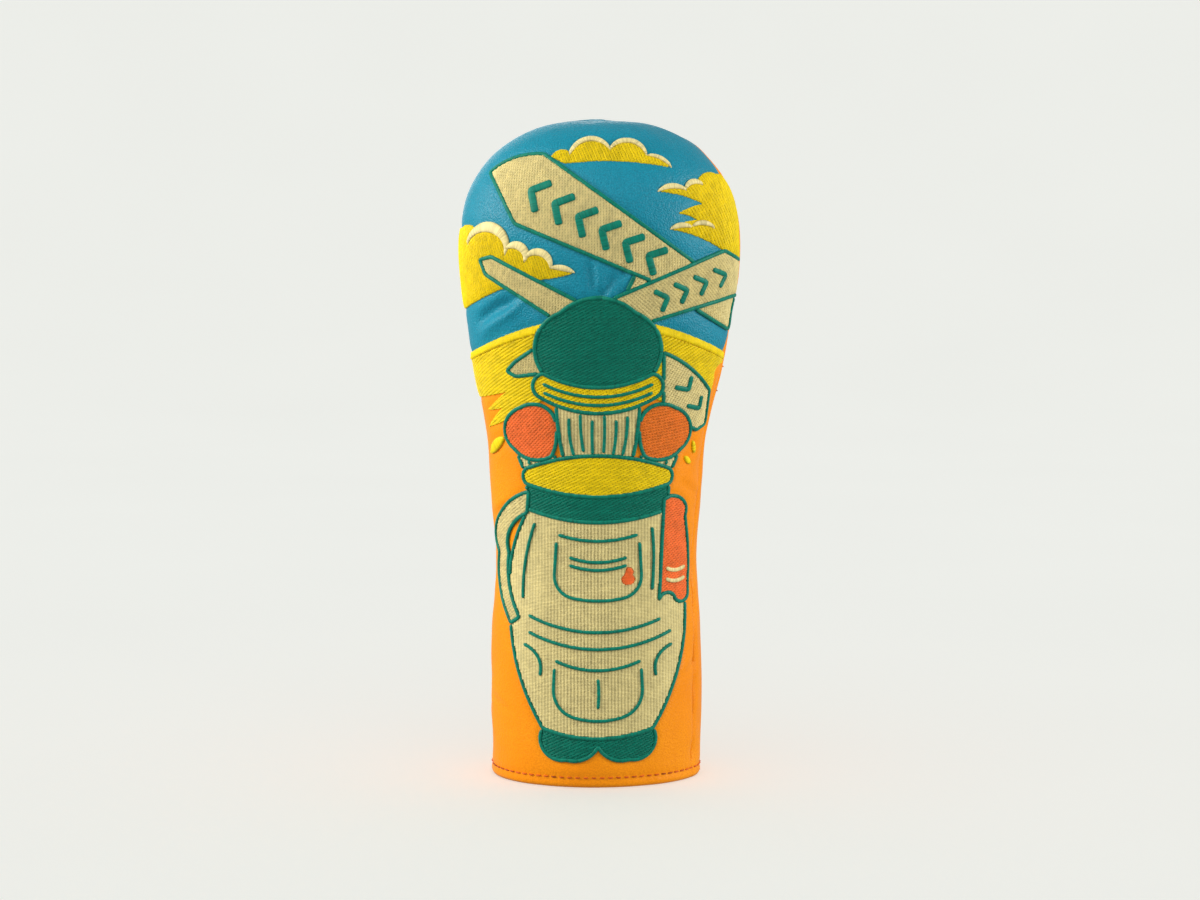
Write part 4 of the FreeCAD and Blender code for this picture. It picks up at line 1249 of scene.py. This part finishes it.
BLUE = leather_material("blue_leather", (6, 124, 146), (16, 136, 159), 0.0009, 0.95)
ORANGE = leather_material("orange_leather", (235, 134, 2), (243, 148, 6), 0.0009, 0.4, 0.16, 0.9)
THREADS = {
    "yellow": thread_material("yellow_thread", (227, 199, 12)),
    "cream": thread_material("cream_thread", (217, 201, 139)),
    "green": thread_material("green_thread", (4, 114, 93)),
    "salmon": thread_material("salmon_thread", (236, 116, 54)),
    "amber": thread_material("amber_thread", (229, 122, 40)),
    "sewing": thread_material("sewing_thread", (196, 84, 24), 0.14),
}
FLEECE = pile_material("fleece", (226, 221, 205), 900.0)
FOAM = pile_material("foam", (232, 228, 208), 1400.0)
FELT = pile_material("backing_felt", (232, 232, 228), 2000.0)
ELASTIC = pile_material("elastic_weave", (234, 234, 230), 1600.0)
SEWN_IN = {
    "yellow": [
        "horizon_edge", "horizon_fill", "light_flecks", "top_cloud_fill", "right_cloud_fill",
        "left_cloud_fill", "centre_cuff_fill", "bag_rim_fill",
    ],
    "cream": [
        "cloud_crests", "long_board_fill", "right_board_fill", "left_board_fill", "low_board_fill",
        "post_fill", "centre_sock_fill", "side_sock_fill", "bag_body_fill", "strap_fill", "towel_stripes",
    ],
    "green": [
        "board_outline", "board_arrows", "centre_dome_fill", "club_cover_outline", "club_cover_ribs",
        "bag_collar_fill", "bag_base_fill", "bag_outline", "bag_detail_lines",
    ],
    "salmon": ["left_cover_fill", "zip_pull", "towel_fill"],
    "amber": ["right_cover_fill"],
}
COLOURS = {node: colour for colour, nodes in SEWN_IN.items() for node in nodes}


# ---------------------------------------- leather, padding and lining

BEHIND = (seam_field, -1)
BEFORE = (seam_field, 1)
FRONT_SPAN = (-math.pi, math.pi)
BACK_SPAN = (1.0, 2 * math.pi - 1.0)
ABOVE_HEM = HEM_FOLD + 0.1
CROWN_LOW, SLEEVE_HIGH = 190, 250
FOLD_STEP = 2.5


def rolled_edge(t):
    """How far the leather turns in at the very hem."""
    over_edge = np.clip((HEM_FOLD - t) / HEM_FOLD, 0, 1)
    return -0.8 * (1 - np.sqrt(1 - over_edge ** 2))


def panel(name, node, slot_name, material, span, low, high, step, cuts):
    """A leather panel with its seam allowance folded in behind it."""
    theta, t, faces = cells(*span, low, high, step, cuts)
    face = slab(theta, t, faces, rolled_edge(t), -LEATHER_BACK + GAP)
    near_seam = (-cuts[0][1] * seam_field - (SEAM_ALLOWANCE - 0.1), 1)
    strip = cells(*span, max(low, ABOVE_HEM), high, FOLD_STEP, [cuts[0], near_seam, *cuts[1:]])
    fold = slab(*strip, -LEATHER_BACK, -PADDING_BACK + 0.1)
    made_mesh(name, node, slot_name, *joined(face, fold), material)


def make_leather():
    """The front's two panels, which meet at the horizon, and the back panel."""
    above, under = (horizon_field, -1), (horizon_field, 1)
    panel("crown_panel", "front_crown_panel", "blue_leather", BLUE, FRONT_SPAN, CROWN_LOW, TOP, 1.35,
          [BEFORE, above])
    panel("sleeve_panel", "front_sleeve_panel", "orange_leather", ORANGE, FRONT_SPAN, 0, SLEEVE_HIGH, 1.25,
          [BEFORE, under])
    panel("back_leather_panel", "back_panel", "orange_leather", ORANGE, BACK_SPAN, 0, TOP, 1.5, [BEHIND])


def layer(name, node, slot_name, material, span, low, high, step, cut, top, bottom):
    """One hidden or inner layer; bottom is a number or a function of theta and t."""
    theta, t, faces = cells(*span, low, high, step, [cut])
    inner = bottom(theta, t) if callable(bottom) else bottom
    return made_mesh(name, node, slot_name, *slab(theta, t, faces, top, inner), material)


def grooved(theta, t):
    """The inside of the back foam, with a groove for the elastic."""
    in_groove = (t > ELASTIC_LOW - 0.4) & (t < ELASTIC_HIGH + 0.4)
    return np.where(in_groove, -ELASTIC_FACE + GAP, -PADDING_BACK + GAP)


def make_inner_layers():
    """Backing, foam, elastic and fleece, all clear of the side seams but the fleece."""
    clear_front = (seam_field + SEAM_ROOM, 1)
    clear_back = (seam_field - SEAM_ROOM, -1)
    layer("backing_felt", "embroidery_backing", "backing", FELT, FRONT_SPAN, BACKING_MARGIN, TOP, 2.2,
          clear_front, -LEATHER_BACK - GAP, -BACKING_BACK + 0.03)
    foam_front = layer("front_foam", "front_padding", "foam", FOAM, FRONT_SPAN, ABOVE_HEM, TOP, 3.0,
                       clear_front, -BACKING_BACK - 0.03, -PADDING_BACK + GAP)
    foam_back = layer("back_foam", "back_padding", "foam", FOAM, BACK_SPAN, ABOVE_HEM, TOP, 2.6,
                      clear_back, -LEATHER_BACK - GAP, grooved)
    layer("neck_elastic_band", "neck_elastic", "elastic", ELASTIC, BACK_SPAN, ELASTIC_LOW, ELASTIC_HIGH, 2.0,
          clear_back, -ELASTIC_FACE - GAP, -PADDING_BACK + 0.1)
    tufts = noise_field(3.2) * 0.32 + noise_field(1.6) * 0.2

    def fluffy(theta, t):
        return -LINING_BACK + 0.55 + np.clip(sample(tufts, theta, t), -0.5, 0.6)

    for side, span, cut in (("front", FRONT_SPAN, BEFORE), ("back", BACK_SPAN, BEHIND)):
        layer(f"{side}_fleece", f"{side}_lining", "fleece", FLEECE, span, ABOVE_HEM, TOP, 2.0,
              cut, -PADDING_BACK - 0.02, fluffy)


def hoop_faces(hoops, count):
    """Quads from each hoop of count points to the next; hoops lists the hoops' numbers in order."""
    after = [*range(1, count), 0]
    return [[p * count + k, q * count + k, q * count + n, p * count + n]
            for p, q in zip(hoops, hoops[1:]) for k, n in enumerate(after)]


def make_facing():
    """The leather turned under at the hem, up to its cut edge inside the mouth."""
    outside, inside, lining = -LEATHER_BACK - 0.02, -FACING_BACK, -LINING_BACK - 0.02
    profile = [
        (outside, 0.12), (-LEATHER_BACK - 0.5, 0.0), (inside + 0.9, 0.0), (inside + 0.2, 0.35),
        (inside, 1.1), (inside + 0.15, 4.0), (inside + 0.5, HEM_STITCH_HEIGHT), (inside + 0.12, 6.6),
        (inside, 10.0), (inside, FACING_HEIGHT - 0.3), (inside + 0.3, FACING_HEIGHT),
        (lining, FACING_HEIGHT), (lining, HEM_FOLD), (outside, HEM_FOLD),
    ]
    count = 300
    theta = np.linspace(-math.pi, math.pi, count, endpoint=False)
    rings = [at(theta, np.full(count, height), np.full(count, lift))[0] for lift, height in profile]
    for ring, (lift, height) in zip(rings, profile):
        ring[:, 2] = height
    faces = hoop_faces([*range(len(profile)), 0], count)
    made_mesh("hem_facing_ring", "hem_facing", "facing", np.concatenate(rings), faces, ORANGE)


# ---------------------------------------- sewing threads

# A stitch dives, rises, lies flat and dives again: shares of its length, and heights in thread radii.
STITCH_SHARES = np.array([-0.5, -0.44, -0.3, 0.0, 0.3, 0.44, 0.5])
STITCH_RISES = np.array([-1.2, -0.1, 0.75, 0.95, 0.75, -0.1, -1.2])
SLEEVE_RADIUS = 52.0

# Threads: radius and a stitch's length.
HEM_THREAD, INNER_THREAD, NECK_THREAD, SEAM_THREAD = (0.36, 3.1), (0.32, 3.1), (0.34, 3.0), (0.35, 3.6)
SEAM_PITCH = 5.0


def running_stitches(strands, places, radius, length, lift, inward=False):
    """One stitch at each place along a level line, on the leather or, where inward is true, inside it."""
    rises = (-radius if inward else radius) * STITCH_RISES
    for theta, t in places:
        tilt = rng.normal(0, 0.12)
        spread = length * (1 + rng.normal(0, 0.04)) / SLEEVE_RADIUS
        middle = lift + rises
        strands.add(theta + STITCH_SHARES * spread, t + STITCH_SHARES * tilt, radius,
                    middle - radius, middle + radius, rng.normal(0, 1))


def seam_line(side):
    """theta and t up a side seam, from the hem over the crown; side is 1 on the right and -1 on the left."""
    columns = FRONT_COLUMN + side * np.arange(TURNS // 2 + 1)
    thetas, levels = [], []
    for row, t in zip(seam_field[:, columns], t_grid):
        k = int(np.argmax(row > 0))
        if k > 0:
            share = row[k - 1] / (row[k - 1] - row[k])
            thetas.append(theta_grid[columns[k - 1]] * (1 - share) + theta_grid[columns[k]] * share)
            levels.append(t)
    return np.array(thetas), np.array(levels)


def seam_stitches(strands, radius, length, lift):
    """Stitches up both side seams, hidden behind the leather."""
    for side in (-1, 1):
        theta, t = seam_line(side)
        place = np.concatenate([[0], np.cumsum(np.linalg.norm(np.diff(at(theta, t)[0], axis=0), axis=1))])
        for middle in np.arange(2 * SEAM_PITCH, place[-1] - 2 * SEAM_PITCH, SEAM_PITCH):
            along = middle + STITCH_SHARES * length
            rise = lift + radius * STITCH_RISES
            strands.add(np.interp(along, place, theta), np.interp(along, place, t), radius,
                        rise - radius, rise + radius, rng.normal(0, 1))


def level_places(height):
    """Places for stitches round the cover at one height."""
    length = along_field[int(round(height / TOP * LEVELS))]
    total = length[-1] - length[0]
    count = int(round(total / STITCH_PITCH))
    marks = length[0] + total * np.arange(count) / count
    return [(theta, height) for theta in np.interp(marks, length, theta_grid)]


def threads(name, node, colour, strands):
    """The piece of a node's strands."""
    points, faces, tone_and_shade = strands.solid()
    made_mesh(name, node, f"{colour}_thread", points, faces, THREADS[colour], tone_and_shade)


def make_sewing():
    """Stitches round the hem outside and inside, across the back of the neck, and up the side seams."""
    hem, neck, seam = (Strands(THREAD_SECTION) for _ in range(3))
    places = level_places(HEM_STITCH_HEIGHT)
    running_stitches(hem, places, *HEM_THREAD, 0.0)
    running_stitches(hem, places, *INNER_THREAD, -FACING_BACK + 0.3, inward=True)
    for height in GATHER_ROWS:
        places = [p for p in level_places(height) if sample(seam_field, *p) > 2 * SEAM_ROOM]
        running_stitches(neck, places, *NECK_THREAD, 0.0)
    seam_stitches(seam, *SEAM_THREAD, -LEATHER_BACK - 0.8)
    threads("hem_stitches", "hem_stitching", "sewing", hem)
    threads("neck_stitches", "neck_gather_stitching", "sewing", neck)
    threads("side_seam_stitches", "side_seam_stitching", "sewing", seam)


def make_embroidery():
    """A piece for each embroidered node."""
    sew_everything()
    for node, strands in sorted(sewn.items()):
        threads(f"{node}_threads", node, COLOURS[node], strands)


make_leather()
make_inner_layers()
make_facing()
make_sewing()
make_embroidery()


# ---------------------------------------- floor, light and camera

PALE = (236, 237, 233)
SWEEP_FLAT, SWEEP_BEND, SWEEP_HEIGHT, SWEEP_COUNT = 2.2, 1.6, 9.0, 96

# The softboxes light the cover alone, so that the sweep stays evenly pale.
lit = bpy.data.collections.new("lit_by_softboxes")
for shown in bpy.context.scene.objects:
    if shown.type == "MESH":
        lit.objects.link(shown)


def sweep_material():
    """Pale, evenly lit by itself, and not there when it is seen from below."""
    made = Shader("studio_sweep")
    made.finished(
        Base_Color=made.mixed(made.noise(3.0, 2.0), linear((232, 233, 228)), linear((238, 239, 234))),
        Roughness=0.9,
        Emission_Color=linear(PALE),
        Emission_Strength=0.51,
    )
    side, clear = made.add("ShaderNodeNewGeometry"), made.add("ShaderNodeBsdfTransparent")
    both = made.add("ShaderNodeMixShader")
    out = next(n for n in made.nodes if n.type == "OUTPUT_MATERIAL")
    made.link(side.outputs["Backfacing"], both.inputs[0])
    made.link(made.principled.outputs[0], both.inputs[1])
    made.link(clear.outputs[0], both.inputs[2])
    made.link(both.outputs[0], out.inputs["Surface"])
    return made.material


def sweep_line():
    """The sweep's outline, (radius, height) in metres: level, then a quarter turn up into a wall."""
    bend = [(SWEEP_FLAT + SWEEP_BEND * math.sin(a), SWEEP_BEND - SWEEP_BEND * math.cos(a))
            for a in np.linspace(0, math.pi / 2, 20)]
    return [(0.3, 0.0), (1.2, 0.0), *bend, (SWEEP_FLAT + SWEEP_BEND, SWEEP_HEIGHT)]


def make_stage():
    """A pale round sweep, a hair below the cover, which throws no light, shadow or reflection on it."""
    points = [(r * math.cos(a), r * math.sin(a), z - 0.0002) for r, z in sweep_line()
              for a in np.linspace(0, 2 * math.pi, SWEEP_COUNT, endpoint=False)]
    faces = [list(range(SWEEP_COUNT))] + hoop_faces(range(len(sweep_line())), SWEEP_COUNT)
    mesh = bpy.data.meshes.new("studio_sweep")
    mesh.from_pydata(points, [], faces)
    mesh.polygons.foreach_set("use_smooth", np.full(len(faces), True))
    mesh.materials.append(sweep_material())
    sweep = bpy.data.objects.new("studio_sweep", mesh)
    bpy.context.scene.collection.objects.link(sweep)
    for ray in ("diffuse", "glossy", "transmission", "shadow"):
        setattr(sweep, f"visible_{ray}", False)


def aimed(name, data, place, aim):
    """A light or camera at one place that looks at another."""
    found = bpy.data.objects.new(name, data)
    found.location = place
    found.rotation_mode = "QUATERNION"
    found.rotation_quaternion = (Vector(aim) - Vector(place)).to_track_quat("-Z", "Y")
    bpy.context.scene.collection.objects.link(found)
    return found


def softbox(name, place, size, power, colour=(1, 1, 1)):
    """A round soft light on the cover alone."""
    data = bpy.data.lights.new(name, "AREA")
    data.shape, data.size, data.energy, data.color = "DISK", size, power, colour
    aimed(name, data, place, (0, 0, 0.17)).light_linking.receiver_collection = lit


def make_lights():
    """A bright box on the left, a weaker one on the right, two small ones, and an even surround."""
    softbox("left_box", (-1.3, -0.3, 0.75), 0.9, 25, (1.0, 0.99, 0.97))
    softbox("right_box", (1.2, -0.4, 0.5), 0.8, 14, (0.98, 0.99, 1.0))
    softbox("front_top", (-0.5, -1.3, 1.2), 0.7, 7)
    softbox("back_box", (-0.3, 1.5, 0.6), 1.0, 5)
    world = bpy.data.worlds.new("studio")
    world.use_nodes = True
    background = next(n for n in world.node_tree.nodes if n.type == "BACKGROUND")
    background.inputs["Color"].default_value = (0.95, 0.96, 0.95, 1)
    background.inputs["Strength"].default_value = 0.52
    bpy.context.scene.world = world


def make_camera():
    """Low in front, level with the neck, so that the hem shows its curve."""
    distance, elevation, aim = 1.2, math.radians(5.0), Vector((0.00104, 0.0, 0.1695))
    data = bpy.data.cameras.new("camera")
    data.sensor_width, data.lens = 36.0, 69.1
    place = aim + Vector((0, -math.cos(elevation), math.sin(elevation))) * distance
    bpy.context.scene.camera = aimed("camera", data, place, aim)


make_stage()
make_lights()
make_camera()
bpy.context.scene.view_settings.view_transform = "Standard"
